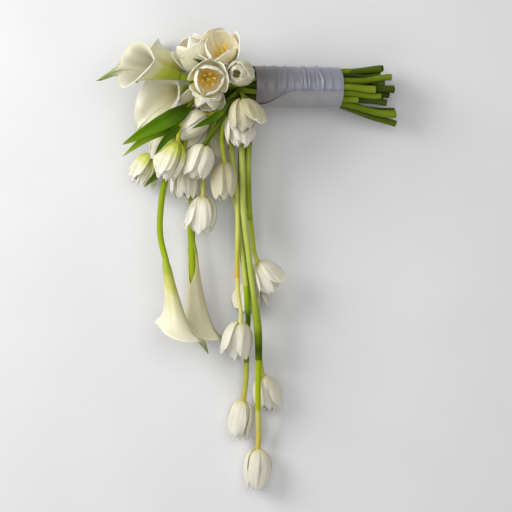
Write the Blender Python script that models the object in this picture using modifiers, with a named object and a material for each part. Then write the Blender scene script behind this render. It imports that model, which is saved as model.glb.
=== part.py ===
# A cascade bridal bouquet of white tulips and calla lilies, laid on its side on a table.
# The bound stems lie along X with their cut ends towards +X, the cascade trails towards -Y, and +Z is up.
# Sizes and places are in millimetres, from the binding point: the end of the ribbon nearest the flowers,
# above the table's surface. The whole bouquet is moved last, so that its origin is under its middle.

import math
import random

import bmesh
import bpy
import numpy as np
from mathutils import Matrix, Quaternion, Vector
from mathutils.geometry import interpolate_bezier, intersect_point_line

MM = 0.001
MERGE = 0.00001
GAP = 0.3
SHARP = math.radians(35)

# The handle: a bundle of stems on three rings, wound with ribbon. It slopes down to its cut ends.
HANDLE_HEIGHT = 66.0
HANDLE_TILT = math.radians(10.7)
RIBBON_LENGTH = 121.0
RIBBON_INNER_RADIUS = 28.0
RIBBON_THICKNESS = 1.2
RIBBON_OVERLAP = 0.8
RIBBON_BANDS = 5
RIBBON_SIDES = 20
RINGS = {"outer": (16, 23.0), "middle": (9, 14.2), "inner": (3, 5.6)}
CUT_LENGTHS = (56.0, 86.0)
CUT_SPREAD = 1.10
SPLAYED = {("outer", 11): 8.0, ("outer", 12): 26.0, ("outer", 13): 14.0, ("outer", 14): 5.0}

# Stems: the radius at the ribbon and at the bloom, and how they are led past each other.
TULIP_STEM = (4.1, 3.0)
CALLA_STEM = (4.3, 4.3)
STEM_NECK = 5.0
STEM_END = 1.3
STEM_STEP = 8.0
STEM_GAP = 1.1
FLOOR_GAP = 0.2
STEM_TOLERANCE = 0.6
EASE_ROUNDS = 260
MOST_PUSH = 2.0
SPADIX = (46.0, 56.0)

# A tulip's tepals and its receptacle.
TEPAL_THICKNESS = 1.0
TEPAL_ROOT = 3.5
TEPAL_SPAN = 0.86
TEPAL_WIDEST = 0.62
TEPAL_TIP = 0.42
TEPAL_ROUND = 0.16
TEPAL_CLAW = math.radians(21.0)
TEPAL_REACH = math.radians(57.0)
WHORL_STEP = 0.83
WHORL_LIFT = 1.9
OUTER_ROWS = (0.0, 0.22, 0.5, 0.8, 1.0)
INNER_ROWS = (0.0, 0.45, 1.0)
OPEN_INNER_ROWS = (0.0, 0.3, 0.7, 1.0)
WIDE_OPEN = 0.35
RECEPTACLE = {"low": -1.0, "high": 3.6, "bottom_radius": 3.6, "top_radius": 5.6}

# The heart of an open tulip.
OPEN_TULIPS = ("01", "02", "03")
PISTIL = {"height": 15.0, "foot": 4.4, "radius": 2.2, "stigma_height": 3.5, "stigma_radius": 4.2}
STAMEN = {"count": 6, "lean": 0.45, "filament": 10.0, "anther": 9.0, "radii": (0.8, 1.7, 1.1)}

SPATHE_GRID = (10, 5)
SPATHE_THICKNESS = 1.2
LEAF_ROWS = 6
LEAF_FOLD = 0.25
LEAF_THICKNESS = 1.0

# Colours and roughness.
PETAL = ((0.82, 0.80, 0.68), 0.5)
GREEN = ((0.12, 0.24, 0.05), 0.45)
POLLEN = ((0.80, 0.45, 0.06), 0.7)
SATIN = ((0.45, 0.45, 0.50), 0.35)

# Each tulip's slot on the bundle, the foot of its bloom and the way it faces, its length and radius, how
# open its outer and inner tepals are, the turn of its whorls in degrees, and any points that its stem
# passes through.
TULIPS = {
    "01": dict(slot=("outer", 4), base=(-70, 24, 70), aim=(-0.52, 0.78, 0.3), length=50,
               radius=20, opening=(0.4, 0.2), turn=20, through=[(-34, 20, 67)]),
    "02": dict(slot=("outer", 3), base=(-38, 32, 80), aim=(-0.16, 0.68, 0.72), length=48,
               radius=19, opening=(0.66, 0.42), turn=75),
    "03": dict(slot=("outer", 0), base=(-63, 8, 107), aim=(-0.04, 0.0, 1.0), length=42,
               radius=20, opening=(0.36, 0.2), turn=10, through=[(-24, -2, 92), (-46, 0, 95)]),
    "04": dict(slot=("outer", 2), base=(-15, 13, 106), aim=(-0.1, 0.02, 0.99), length=38,
               radius=18, opening=(0.02, 0.0), turn=40, through=[(-10, 18, 90)]),
    "05": dict(slot=("outer", 1), base=(-59, 1, 81), aim=(-0.2, -0.92, 0.28), length=38,
               radius=17, opening=(0.4, 0.2), turn=0,
               through=[(-12, 8, 89), (-26, 9, 88), (-45, 12, 85)]),
    "06": dict(slot=("outer", 14), base=(-66, -83, 90), aim=(-0.35, -0.93, -0.02), length=50,
               radius=18, opening=(0.18, 0.05), turn=60,
               through=[(-14, -17, 91), (-33, -25, 97), (-46, -54, 94)]),
    "07": dict(slot=("outer", 15), base=(-14, -17, 125), aim=(0.06, -0.98, -0.05), length=48,
               radius=17, opening=(0.35, 0.05), turn=30, through=[(-18, -6, 102)]),
    "08": dict(slot=("middle", 8), base=(-18, -35, 82), aim=(0.0, -0.99, 0.02), length=50,
               radius=19, opening=(0.15, 0.05), turn=90, through=[(-13, -18, 77)]),
    "09": dict(slot=("middle", 5), base=(-48, -48, 27), aim=(0.1, -0.98, 0.05), length=52,
               radius=15, opening=(0.1, 0.0), turn=15, through=[(-20, -9, 50)]),
    "10": dict(slot=("middle", 0), base=(-64, -41, 72), aim=(-0.84, -0.53, 0.12), length=46,
               radius=14, opening=(0.05, 0.0), turn=55),
    "11": dict(slot=("inner", 1), base=(-66, -46, 44), aim=(-0.52, -0.85, 0.0), length=46,
               radius=15, opening=(0.15, 0.0), turn=35, through=[(-33, -18, 56)]),
    "12": dict(slot=("middle", 2), base=(-106, -64, 55), aim=(-0.66, -0.75, -0.02), length=52,
               radius=17, opening=(0.15, 0.05), turn=5, through=[(-26, 10, 66), (-46, 4, 62)]),
    "13": dict(slot=("outer", 7), base=(-141, -94, 34), aim=(-0.46, -0.88, -0.02), length=48,
               radius=15, opening=(0.25, 0.1), turn=45, through=[(-60, -5, 25), (-112, -50, 19)]),
    "14": dict(slot=("inner", 0), base=(-105, -78, 95), aim=(-0.34, -0.94, -0.05), length=58,
               radius=17, opening=(0.3, 0.1), turn=25, through=[(-42, -5, 65), (-84, -28, 74)]),
    "15": dict(slot=("middle", 3), base=(-95, -95, 48), aim=(-0.14, -0.98, -0.06), length=56,
               radius=16, opening=(0.2, 0.05), turn=80, through=[(-42, -8, 51)]),
    "16": dict(slot=("middle", 7), base=(-41, -106, 76), aim=(0.0, -1.0, -0.05), length=54,
               radius=16, opening=(0.15, 0.05), turn=50, through=[(-30, -28, 69), (-43, -70, 71)]),
    "17": dict(slot=("inner", 2), base=(-70, -153, 57), aim=(0.02, -0.99, -0.1), length=53,
               radius=20, opening=(0.12, 0.05), turn=15),
    "18": dict(slot=("outer", 12), base=(7, -245, 48), aim=(0.42, -0.88, -0.05), length=50,
               radius=17, opening=(0.38, 0.12), turn=70,
               through=[(-3, -45, 56), (-4, -62, 53), (-7, -108, 57),
                        (-6, -158, 58), (-1, -207, 54)]),
    "19": dict(slot=("outer", 10), base=(-8, -274, 24.1), aim=(-0.05, -1.0, 0.0), length=46,
               radius=18, opening=(0.5, 0.2), turn=30, through=[(-18, -88, 32), (-13, -200, 22)]),
    "20": dict(slot=("middle", 6), base=(-18, -329, 54), aim=(-0.13, -0.98, -0.08), length=54,
               radius=20, opening=(0.2, 0.05), turn=10,
               through=[(-27, -60, 52), (-28, -100, 56), (-22, -158, 60), (-21, -284, 58)]),
    "21": dict(slot=("outer", 11), base=(14, -407, 19.8), aim=(0.2, -0.97, 0.0), length=52,
               radius=17, opening=(0.4, 0.12), turn=50,
               through=[(-14, -96, 40), (-6, -200, 46), (4, -298, 44), (10, -354, 32)]),
    "22": dict(slot=("outer", 9), base=(-14, -442, 18.2), aim=(-0.16, -0.98, -0.02), length=53,
               radius=17.5, opening=(0.1, 0.05), turn=85,
               through=[(-30, -96, 44), (-20, -186, 46), (-13, -284, 46), (-13, -346, 24)]),
    "23": dict(slot=("outer", 13), base=(7, -510, 20.6), aim=(-0.06, -1.0, -0.02), length=57,
               radius=19, opening=(0.05, 0.0), turn=20,
               through=[(-16, -36, 72), (-17, -62, 62), (-15, -108, 68), (-13, -170, 69),
                        (-4, -242, 64), (3, -298, 58), (8, -354, 55), (7, -438, 46)]),
}

# Each calla lily's slot, the foot of its spathe, the way it faces and the side of its tip, the heights of
# its back and front, the radius of its mouth, how far its rim flares and its tip curls, and points of its
# stem.
CALLAS = {
    "1": dict(slot=("middle", 1), base=(-94, 13, 90), aim=(-0.94, 0.17, 0.3),
              side=(-0.7, -0.35, -0.5), back=112, front=66, mouth=28, flare=8, curl=30,
              through=[(-45, 8, 74)]),
    "2": dict(slot=("outer", 5), base=(-88, 29, 24.5), aim=(-0.97, 0.22, 0.0), side=(-0.1, 0.5, 0.6),
              back=80, front=56, mouth=19, flare=5, curl=12),
    "3": dict(slot=("outer", 6), base=(-90, 0, 50), aim=(-0.8, -0.5, 0.28), side=(-0.3, -0.9, -0.2),
              back=84, front=52, mouth=21, flare=6, curl=18),
    "4": dict(slot=("middle", 4), base=(-123, -239, 64), aim=(0.186, -0.983, -0.02),
              side=(0.98, 0.18, 0.1), back=134, front=86, mouth=18, flare=6, curl=8,
              through=[(-70, -50, 36), (-106, -130, 56), (-124, -190, 62)]),
    "5": dict(slot=("outer", 8), base=(-87, -214, 21), aim=(0.063, -0.998, 0.0),
              side=(0.99, 0.06, 0.1), back=146, front=90, mouth=16, flare=5, curl=8,
              through=[(-66, -52, 20), (-84, -115, 22), (-86, -165, 20)]),
}

# Each leaf's stem, where it grows on the stem's free part (0 at the ribbon, 1 at the bloom), its width,
# the way its inner face looks, and the points that the blade passes through.
LEAVES = [
    dict(stem="tulip_stem_14", at=0.62, width=23, face=(0.0, -0.2, 1.0),
         through=[(-100, -38, 94), (-136, -58, 101), (-181, -83, 98)]),
    dict(stem="tulip_stem_12", at=0.92, width=17, face=(0.1, -0.2, 1.0),
         through=[(-118, -64, 81), (-150, -82, 86), (-182, -99, 86)]),
    dict(stem="tulip_stem_06", at=0.45, width=16, face=(0.0, -0.3, 1.0),
         through=[(-55, -47, 102), (-68, -53, 105), (-85, -61, 102)]),
    dict(stem="tulip_stem_14", at=0.85, width=15, face=(0.3, -0.2, 1.0),
         through=[(-108, -64, 106), (-122, -78, 110), (-136, -98, 104)]),
    dict(stem="tulip_stem_15", at=0.95, width=15, face=(0.1, 0.0, 1.0),
         through=[(-107, -104, 62), (-130, -119, 60), (-153, -140, 55)]),
    dict(stem="tulip_stem_01", at=0.8, width=9, face=(0.0, 0.3, 1.0),
         through=[(-60, 25, 84), (-69, 30, 98), (-83, 36, 106)]),
]

# Each sheath's stem, from where to where on its free part it clasps it, and its radii at foot, widest and
# top.
SHEATHS = [
    dict(stem="tulip_stem_23", start=0.45, end=0.70, radii=(4.4, 5.9, 3.7)),
    dict(stem="tulip_stem_18", start=0.22, end=0.46, radii=(4.2, 5.4, 3.8)),
]


def lerp(start, end, share):
    return start + (end - start) * share


def facing(aim, side=(0, 0, 1)):
    """A rotation that takes +Z to one direction and +X as near as it can to another."""
    up = Vector(aim).normalized()
    across = Vector(side) - up * up.dot(Vector(side))
    if across.length < 0.1:
        across = up.orthogonal()
    across.normalize()
    return Matrix((across, up.cross(across), up)).transposed().to_quaternion()


def slot_point(slot, along, spread=1.0):
    """A point on the axis of a slot, so far along the handle from the binding point."""
    ring, index = slot
    count, radius = RINGS[ring]
    angle = 2 * math.pi * index / count
    axis = Vector((math.cos(HANDLE_TILT), 0, -math.sin(HANDLE_TILT)))
    above = Vector((math.sin(HANDLE_TILT), 0, math.cos(HANDLE_TILT)))
    across = radius * spread * (math.sin(angle) * Vector((0, 1, 0)) + math.cos(angle) * above)
    return Vector((0, 0, HANDLE_HEIGHT)) + along * axis + across


def smooth_path(knots, first, last):
    """Points along a smooth curve through the knots, which leaves and arrives in the two directions."""
    ways = [Vector(first).normalized()]
    for before, after in zip(knots, knots[2:]):
        ways.append((after - before).normalized())
    ways.append(Vector(last).normalized())
    points = [knots[0]]
    for index in range(len(knots) - 1):
        start, end = knots[index], knots[index + 1]
        reach = 0.38 * (end - start).length
        count = max(4, int((end - start).length / STEM_STEP) + 2)
        handles = (start + reach * ways[index], end - reach * ways[index + 1])
        points += interpolate_bezier(start, *handles, end, count)[1:]
    return points


def thin_out(points, tolerance):
    """The fewest of the points that keep the path within the tolerance."""
    if len(points) < 3:
        return points
    start, end = points[0], points[-1]
    gaps = []
    for point in points[1:-1]:
        near, share = intersect_point_line(point, start, end)
        gaps.append((point - near).length)
    worst = max(gaps)
    if worst < tolerance:
        return [start, end]
    middle = gaps.index(worst) + 1
    return thin_out(points[:middle + 1], tolerance)[:-1] + thin_out(points[middle:], tolerance)


def ease_apart(paths, radii, held, blooms):
    """Moves the stems out of each other and out of the blooms, but keeps their held points in place."""
    names = list(paths)
    owner = np.concatenate([[i] * len(paths[name]) for i, name in enumerate(names)])
    start = np.array([point for name in names for point in paths[name]])
    radius = np.array([radii[name] for name in names])[owner]
    fixed = np.concatenate([held[name] for name in names]).astype(bool)
    centres = np.array([bloom[1] for bloom in blooms])
    spheres = np.array([bloom[2] for bloom in blooms])
    theirs = np.array([names.index(bloom[0]) for bloom in blooms])
    wanted = radius[:, None] + radius[None] + STEM_GAP
    other = owner[:, None] != owner[None]
    shift = np.zeros_like(start)
    for _ in range(EASE_ROUNDS):
        points = start + shift
        apart = points[:, None] - points[None]
        distance = np.linalg.norm(apart, axis=2) + 1e-9
        short = np.where(other, np.clip(wanted - distance, 0, None), 0)
        push = 0.5 * (apart / distance[:, :, None] * short[:, :, None]).sum(axis=1)
        apart = points[:, None] - centres[None]
        distance = np.linalg.norm(apart, axis=2) + 1e-9
        short = np.clip(radius[:, None] + spheres[None] + STEM_GAP - distance, 0, None)
        short = np.where(owner[:, None] != theirs[None], short, 0)
        push += 0.7 * (apart / distance[:, :, None] * short[:, :, None]).sum(axis=1)
        push[:, 2] += np.clip(radius + FLOOR_GAP - points[:, 2], 0, None)
        size = np.linalg.norm(push, axis=1)[:, None] + 1e-9
        shift += 0.6 * push * np.minimum(1, MOST_PUSH / size)
        smooth = shift.copy()
        smooth[1:-1] = 0.5 * shift[1:-1] + 0.25 * (shift[:-2] + shift[2:])
        shift = np.where(fixed[:, None], 0, smooth)
    points = start + shift
    return {name: [Vector(p) for p in points[owner == i]] for i, name in enumerate(names)}


def new_object(name, work):
    """An object from a finished bmesh, in metres."""
    bmesh.ops.scale(work, vec=(MM, MM, MM), verts=work.verts)
    bmesh.ops.recalc_face_normals(work, faces=work.faces)
    mesh = bpy.data.meshes.new(name)
    work.to_mesh(mesh)
    work.free()
    made = bpy.data.objects.new(name, mesh)
    bpy.context.scene.collection.objects.link(made)
    return made


def applied(made):
    """Replaces the object's mesh by the one that its modifiers give."""
    bpy.context.view_layer.update()
    graph = bpy.context.evaluated_depsgraph_get()
    made.data = bpy.data.meshes.new_from_object(made.evaluated_get(graph))
    made.modifiers.clear()
    return made


def fused(body, others):
    """Joins the others to the body as one solid."""
    helpers = bpy.data.collections.new("joined")
    bpy.context.scene.collection.children.link(helpers)
    for other in others:
        bpy.context.scene.collection.objects.unlink(other)
        helpers.objects.link(other)
    union = body.modifiers.new("union", "BOOLEAN")
    union.operation = "UNION"
    union.operand_type = "COLLECTION"
    union.collection = helpers
    union.solver = "EXACT"
    applied(body)
    for other in others:
        bpy.data.objects.remove(other)
    bpy.data.collections.remove(helpers)
    return body


def sheet(name, columns, rows, place, thickness, close_round=False, close_tip=False):
    """A thin solid whose middle surface is place(u, v), with u from -1 to 1 and v from 0 to 1."""
    work = bmesh.new()
    bmesh.ops.create_grid(work, x_segments=columns, y_segments=rows, size=1.0)
    for vert in work.verts:
        vert.co = place(vert.co.x, 0.5 + 0.5 * vert.co.y)
    if close_round or close_tip:
        bmesh.ops.remove_doubles(work, verts=work.verts, dist=0.01)
    bmesh.ops.triangulate(work, faces=work.faces[:])
    made = new_object(name, work)
    solid = made.modifiers.new("thickness", "SOLIDIFY")
    solid.thickness = thickness * MM
    solid.offset = 0
    return applied(made)


def tube(name, points, radii, roundness=1):
    """A solid bar along the points, with four sides and two more for each step of roundness."""
    curve = bpy.data.curves.new(name, "CURVE")
    curve.dimensions = "3D"
    curve.bevel_depth = MM
    curve.bevel_resolution = roundness
    curve.use_fill_caps = True
    spline = curve.splines.new("POLY")
    spline.points.add(len(points) - 1)
    for knot, point, radius in zip(spline.points, points, radii):
        knot.co = (point[0] * MM, point[1] * MM, point[2] * MM, 1)
        knot.radius = radius
    shape = bpy.data.objects.new(name + "_path", curve)
    bpy.context.scene.collection.objects.link(shape)
    bpy.context.view_layer.update()
    graph = bpy.context.evaluated_depsgraph_get()
    mesh = bpy.data.meshes.new_from_object(shape.evaluated_get(graph))
    bpy.data.objects.remove(shape)
    bpy.data.curves.remove(curve)
    work = bmesh.new()
    work.from_mesh(mesh)
    bpy.data.meshes.remove(mesh)
    bmesh.ops.remove_doubles(work, verts=work.verts, dist=MERGE)
    bmesh.ops.scale(work, vec=(1 / MM, 1 / MM, 1 / MM), verts=work.verts)
    return new_object(name, work)


def cone(name, low, high, low_radius, high_radius, sides, turn=0.0):
    """A solid cone stump between two heights on the Z axis."""
    work = bmesh.new()
    place = Matrix.Translation((0, 0, 0.5 * (low + high))) @ Matrix.Rotation(turn, 4, "Z")
    bmesh.ops.create_cone(work, cap_ends=True, cap_tris=False, segments=sides, matrix=place,
                          radius1=low_radius, radius2=high_radius, depth=high - low)
    return new_object(name, work)


def tepal_line(share, length, radius, opening):
    """How far from the bloom's axis, and how high, a tepal's midline is so far along it."""
    shoulder = (lerp(1.15, 1.50, opening) * radius, lerp(0.75, 0.60, opening) * length)
    tip = (lerp(0.28, 1.85, opening) * radius, lerp(1.0, 0.84, opening) * length)
    corners = ((TEPAL_ROOT, 0.0), (1.35 * radius, 0.05 * length), shoulder, tip)
    rest = 1 - share
    weights = (rest ** 3, 3 * rest ** 2 * share, 3 * rest * share ** 2, share ** 3)
    return [sum(w * corner[k] for w, corner in zip(weights, corners)) for k in (0, 1)]


def tepal_width(share, width):
    """Half of a tepal's width, so far along it."""
    if share < TEPAL_WIDEST:
        return width * (0.25 + 0.75 * math.sin(0.5 * math.pi * share / TEPAL_WIDEST))
    past = (share - TEPAL_WIDEST) / (1 - TEPAL_WIDEST)
    return width * (1 - (1 - TEPAL_TIP) * past ** 2.2)


def tepal(name, length, radius, opening, turn, lift, rows):
    """One petal of a tulip, cupped round the bloom's axis."""
    width = TEPAL_SPAN * radius
    around = Matrix.Rotation(turn, 3, "Z")

    def place(u, step):
        v = rows[round(step * (len(rows) - 1))]
        out, up = tepal_line(v, length, radius, opening)
        bend = lerp(1.0, 1.6, opening) * out
        reach = lerp(TEPAL_CLAW, TEPAL_REACH, min(1.0, v / 0.25))
        angle = u * min(tepal_width(v, width) / bend, reach)
        sag = TEPAL_ROUND * length * u * u * max(0.0, v - 0.5)
        across = Vector((out - bend + bend * math.cos(angle), bend * math.sin(angle), lift + up - sag))
        return around @ across

    return sheet(name, 2, len(rows) - 1, place, TEPAL_THICKNESS)


def tulip_bloom(name, flower):
    """Six tepals in two whorls on a receptacle, along +Z from the origin."""
    chance = random.Random(int(name[-2:]))
    # Each petal grows from the middle of one of the receptacle's six sides.
    body = cone(name, RECEPTACLE["low"], RECEPTACLE["high"], RECEPTACLE["bottom_radius"],
                RECEPTACLE["top_radius"], 6, math.radians(flower["turn"]))
    petals = []
    for index in range(6):
        inner = index % 2
        length = flower["length"] * (0.97 if inner else 1.0) * chance.uniform(0.96, 1.04)
        radius = flower["radius"] * (WHORL_STEP if inner else 1.0)
        opening = max(0.0, flower["opening"][inner] + chance.uniform(0, 0.08) * (-1 if inner else 1))
        turn = math.radians(flower["turn"] + 60 * index)
        lift = WHORL_LIFT if inner else 0.0
        rows = OUTER_ROWS
        if inner:
            rows = OPEN_INNER_ROWS if flower["opening"][0] > WIDE_OPEN else INNER_ROWS
        petals.append(tepal(f"{name}_tepal_{index}", length, radius, opening, turn, lift, rows))
    return fused(body, petals)


def tulip_heart(name):
    """The pistil of an open tulip with the stamens round it, along +Z from just above the receptacle."""
    foot = RECEPTACLE["high"] + GAP
    top = foot + PISTIL["height"]
    body = cone(name, foot, top, PISTIL["foot"], PISTIL["radius"], 6)
    others = [cone("stigma", top - 1, top + PISTIL["stigma_height"], 1.5, PISTIL["stigma_radius"], 6)]
    for index in range(STAMEN["count"]):
        turn = 2 * math.pi * index / STAMEN["count"]
        root = Vector((1.5, 0, foot + 1.2))
        joint = root + STAMEN["filament"] * Vector((STAMEN["lean"], 0, 1)).normalized()
        tip = joint + STAMEN["anther"] * Vector((STAMEN["lean"], 0, 1)).normalized()
        around = Matrix.Rotation(turn, 3, "Z")
        others.append(tube("stamen", [around @ root, around @ joint, around @ tip], STAMEN["radii"], 0))
    return fused(body, others)


def calla_spathe(name, flower):
    """A calla lily's single rolled leaf, a funnel along +Z from the origin, round its stem."""
    root = CALLA_STEM[1] + GAP + 0.5 * SPATHE_THICKNESS + 0.2

    def place(u, v):
        angle = math.pi * u
        back = (0.5 + 0.5 * math.cos(angle)) ** 1.4
        height = lerp(flower["front"], flower["back"], back)
        out = root + (flower["mouth"] - root) * v ** 1.7 + flower["flare"] * v ** 7
        curl = flower["curl"] * max(0.0, math.cos(angle)) ** 6 * v ** 4
        fall = 0.35 * flower["curl"] * max(0.0, math.cos(angle)) ** 10 * v ** 8
        return Vector((out * math.cos(angle) + curl, out * math.sin(angle), v * height - fall))

    return sheet(name, *SPATHE_GRID, place, SPATHE_THICKNESS, close_round=True)


def leaf(name, points, face, width):
    """A pointed blade with a shallow fold along its middle."""
    face = Vector(face).normalized()
    path = smooth_path(points, points[1] - points[0], points[-1] - points[-2])

    def place(u, v):
        spot = v * (len(path) - 1)
        index = min(int(spot), len(path) - 2)
        point = path[index].lerp(path[index + 1], spot - index)
        way = (path[index + 1] - path[index]).normalized()
        side = way.cross(face).normalized()
        up = side.cross(way)
        half = 0.5 * width * min(1.0, 0.3 + 2.4 * v) * (1 - v ** 3)
        return point + half * u * side + LEAF_FOLD * half * abs(u) * up

    return sheet(name, 2, LEAF_ROWS, place, LEAF_THICKNESS, close_tip=True)


def ribbon(name):
    """The wound ribbon: a sleeve of overlapping turns along +X from the binding point."""
    step = RIBBON_LENGTH / RIBBON_BANDS
    inner, outer = RIBBON_INNER_RADIUS, RIBBON_INNER_RADIUS + RIBBON_THICKNESS
    profile = [(0, inner)]
    for band in range(RIBBON_BANDS):
        profile.append((band * step, outer + RIBBON_OVERLAP))
        profile.append(((band + 1) * step, outer))
    profile.append((RIBBON_LENGTH, inner))
    work = bmesh.new()
    corners = [work.verts.new((x, 0, z)) for x, z in profile]
    for start, end in zip(corners, corners[1:] + corners[:1]):
        work.edges.new((start, end))
    bmesh.ops.spin(work, geom=work.verts[:] + work.edges[:], cent=(0, 0, 0), axis=(1, 0, 0),
                   angle=2 * math.pi, steps=RIBBON_SIDES, use_merge=True)
    return new_object(name, work)


def bloom_spheres():
    """Balls inside the blooms that the stems are led past: each flower's own stem, a centre, a radius."""
    found = []
    for key, flower in TULIPS.items():
        aim = Vector(flower["aim"]).normalized()
        for share in (0.25, 0.5, 0.75):
            out, up = tepal_line(share, flower["length"], flower["radius"], max(flower["opening"]))
            found.append((f"tulip_stem_{key}", Vector(flower["base"]) + up * aim, out + 1))
    for key, flower in CALLAS.items():
        aim = Vector(flower["aim"]).normalized()
        for share in (0.15, 0.35, 0.55, 0.75, 0.9):
            out = CALLA_STEM[1] + (flower["mouth"] - CALLA_STEM[1]) * share ** 1.7
            height = share * lerp(flower["front"], flower["back"], 0.4)
            found.append((f"calla_stem_{key}", Vector(flower["base"]) + height * aim, out + 1))
    return found


def stem_paths():
    """The axis of every stem from its cut end to its bloom, led clear of the others, and its radii."""
    chance = random.Random(7)
    paths, held, radii = {}, {}, {}
    for kind, flowers, sizes in (("tulip", TULIPS, TULIP_STEM), ("calla", CALLAS, CALLA_STEM)):
        for key, flower in flowers.items():
            name = f"{kind}_stem_{key}"
            slot, aim = flower["slot"], Vector(flower["aim"]).normalized()
            cut = slot_point(slot, RIBBON_LENGTH + chance.uniform(*CUT_LENGTHS), CUT_SPREAD)
            cut.y -= SPLAYED.get(slot, 0)
            shaft = [cut, slot_point(slot, RIBBON_LENGTH), slot_point(slot, 0)]
            knots = [shaft[-1], *map(Vector, flower.get("through", ()))]
            knots.append(Vector(flower["base"]) - STEM_NECK * aim)
            free = smooth_path(knots, shaft[-1] - shaft[-2], aim)[1:]
            paths[name] = shaft + free
            held[name] = [1] * (len(shaft) + 1) + [0] * (len(free) - 2) + [1]
            radii[name] = sizes[0]
    eased = ease_apart(paths, radii, held, bloom_spheres())
    done = {}
    for kind, flowers, reaches in (("tulip", TULIPS, (-STEM_END,)), ("calla", CALLAS, SPADIX)):
        for key, flower in flowers.items():
            name = f"{kind}_stem_{key}"
            aim = Vector(flower["aim"]).normalized()
            done[name] = thin_out(eased[name], STEM_TOLERANCE)
            done[name] += [Vector(flower["base"]) + reach * aim for reach in reaches]
    return done


def stem(name, points, start_radius, end_radius):
    """A stem that grows thinner from the ribbon to its bloom."""
    lengths = [0.0]
    for before, after in zip(points, points[1:]):
        lengths.append(lengths[-1] + (after - before).length)
    first = RIBBON_LENGTH + CUT_LENGTHS[1]
    radii = []
    for length in lengths:
        share = min(1.0, max(0.0, (length - first) / (lengths[-1] - first)))
        radii.append(lerp(start_radius, end_radius, share ** 0.7))
    return tube(name, points, radii)


def spot_on(points, share):
    """The point so far along the path, by length."""
    steps = [(after - before).length for before, after in zip(points, points[1:])]
    left = share * sum(steps)
    for index, step in enumerate(steps):
        if left <= step:
            return index, points[index].lerp(points[index + 1], left / step)
        left -= step
    return len(steps) - 1, points[-1]


def growths(name, points):
    """The leaves and sheaths that grow from this stem."""
    free = points[2:]
    made = []
    for blade in LEAVES:
        if blade["stem"] == name:
            root = spot_on(free, blade["at"])[1]
            row = [root, *map(Vector, blade["through"])]
            made.append(leaf("leaf", row, blade["face"], blade["width"]))
    for sheath in SHEATHS:
        if sheath["stem"] == name:
            first, start = spot_on(free, sheath["start"])
            last, end = spot_on(free, sheath["end"])
            row = [start, *free[first + 1:last + 1], end]
            radii = []
            for index in range(len(row)):
                share = index / (len(row) - 1)
                low, middle, high = sheath["radii"]
                radii.append(lerp(low, middle, share / 0.4) if share < 0.4
                             else lerp(middle, high, (share - 0.4) / 0.6))
            made.append(tube("sheath", row, radii))
    return made


def settle(parts):
    """Moves every piece alike, so that the origin lies on the table under the middle of the bouquet."""
    home = bpy.data.collections.new("bridal_bouquet")
    bpy.context.scene.collection.children.link(home)
    bpy.context.view_layer.update()
    corners = [part.matrix_world @ vert.co for part in parts for vert in part.data.vertices]
    low = [min(corner[axis] for corner in corners) for axis in range(3)]
    high = [max(corner[axis] for corner in corners) for axis in range(3)]
    for part in parts:
        part.location -= Vector((0.5 * (low[0] + high[0]), 0.5 * (low[1] + high[1]), low[2]))
        bpy.context.scene.collection.objects.unlink(part)
        home.objects.link(part)


def painted(made, look):
    """Gives the object its own material and smooth shading."""
    colour, roughness = look
    material = bpy.data.materials.new(made.name)
    material.use_nodes = True
    shader = material.node_tree.nodes["Principled BSDF"]
    shader.inputs["Base Color"].default_value = (*colour, 1)
    shader.inputs["Roughness"].default_value = roughness
    shader.inputs["Metallic"].default_value = 0
    made.data.materials.clear()
    made.data.materials.append(material)
    made.data.shade_smooth()
    made.data.set_sharp_from_angle(angle=SHARP)


def put(made, base, turned):
    """Places the object at a point and turns it."""
    made.location = Vector(base) * MM
    made.rotation_mode = "QUATERNION"
    made.rotation_quaternion = turned


def main():
    for old in list(bpy.data.objects):
        bpy.data.objects.remove(old)
    parts = []
    paths = stem_paths()
    for key, flower in TULIPS.items():
        bloom = tulip_bloom(f"tulip_bloom_{key}", flower)
        put(bloom, flower["base"], facing(flower["aim"]))
        painted(bloom, PETAL)
        parts.append(bloom)
        if key in OPEN_TULIPS:
            heart = tulip_heart(f"tulip_heart_{key}")
            put(heart, flower["base"], facing(flower["aim"]))
            painted(heart, POLLEN)
            parts.append(heart)
    for key, flower in CALLAS.items():
        spathe = calla_spathe(f"calla_spathe_{key}", flower)
        put(spathe, flower["base"], facing(flower["aim"], flower["side"]))
        painted(spathe, PETAL)
        parts.append(spathe)
    for name, points in paths.items():
        sizes = TULIP_STEM if name.startswith("tulip") else CALLA_STEM
        body = stem(name, points, *sizes)
        others = growths(name, points)
        if others:
            fused(body, others)
        painted(body, GREEN)
        parts.append(body)
    wrap = ribbon("ribbon_wrap")
    put(wrap, (0, 0, HANDLE_HEIGHT), Quaternion((0, 1, 0), HANDLE_TILT))
    painted(wrap, SATIN)
    parts.append(wrap)
    settle(parts)


main()
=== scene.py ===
import random
from math import cos, degrees, exp, pi, radians, sin

import bmesh
import bpy
import numpy as np
from mathutils import Matrix, Vector, noise
from mathutils.geometry import interpolate_bezier


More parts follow.
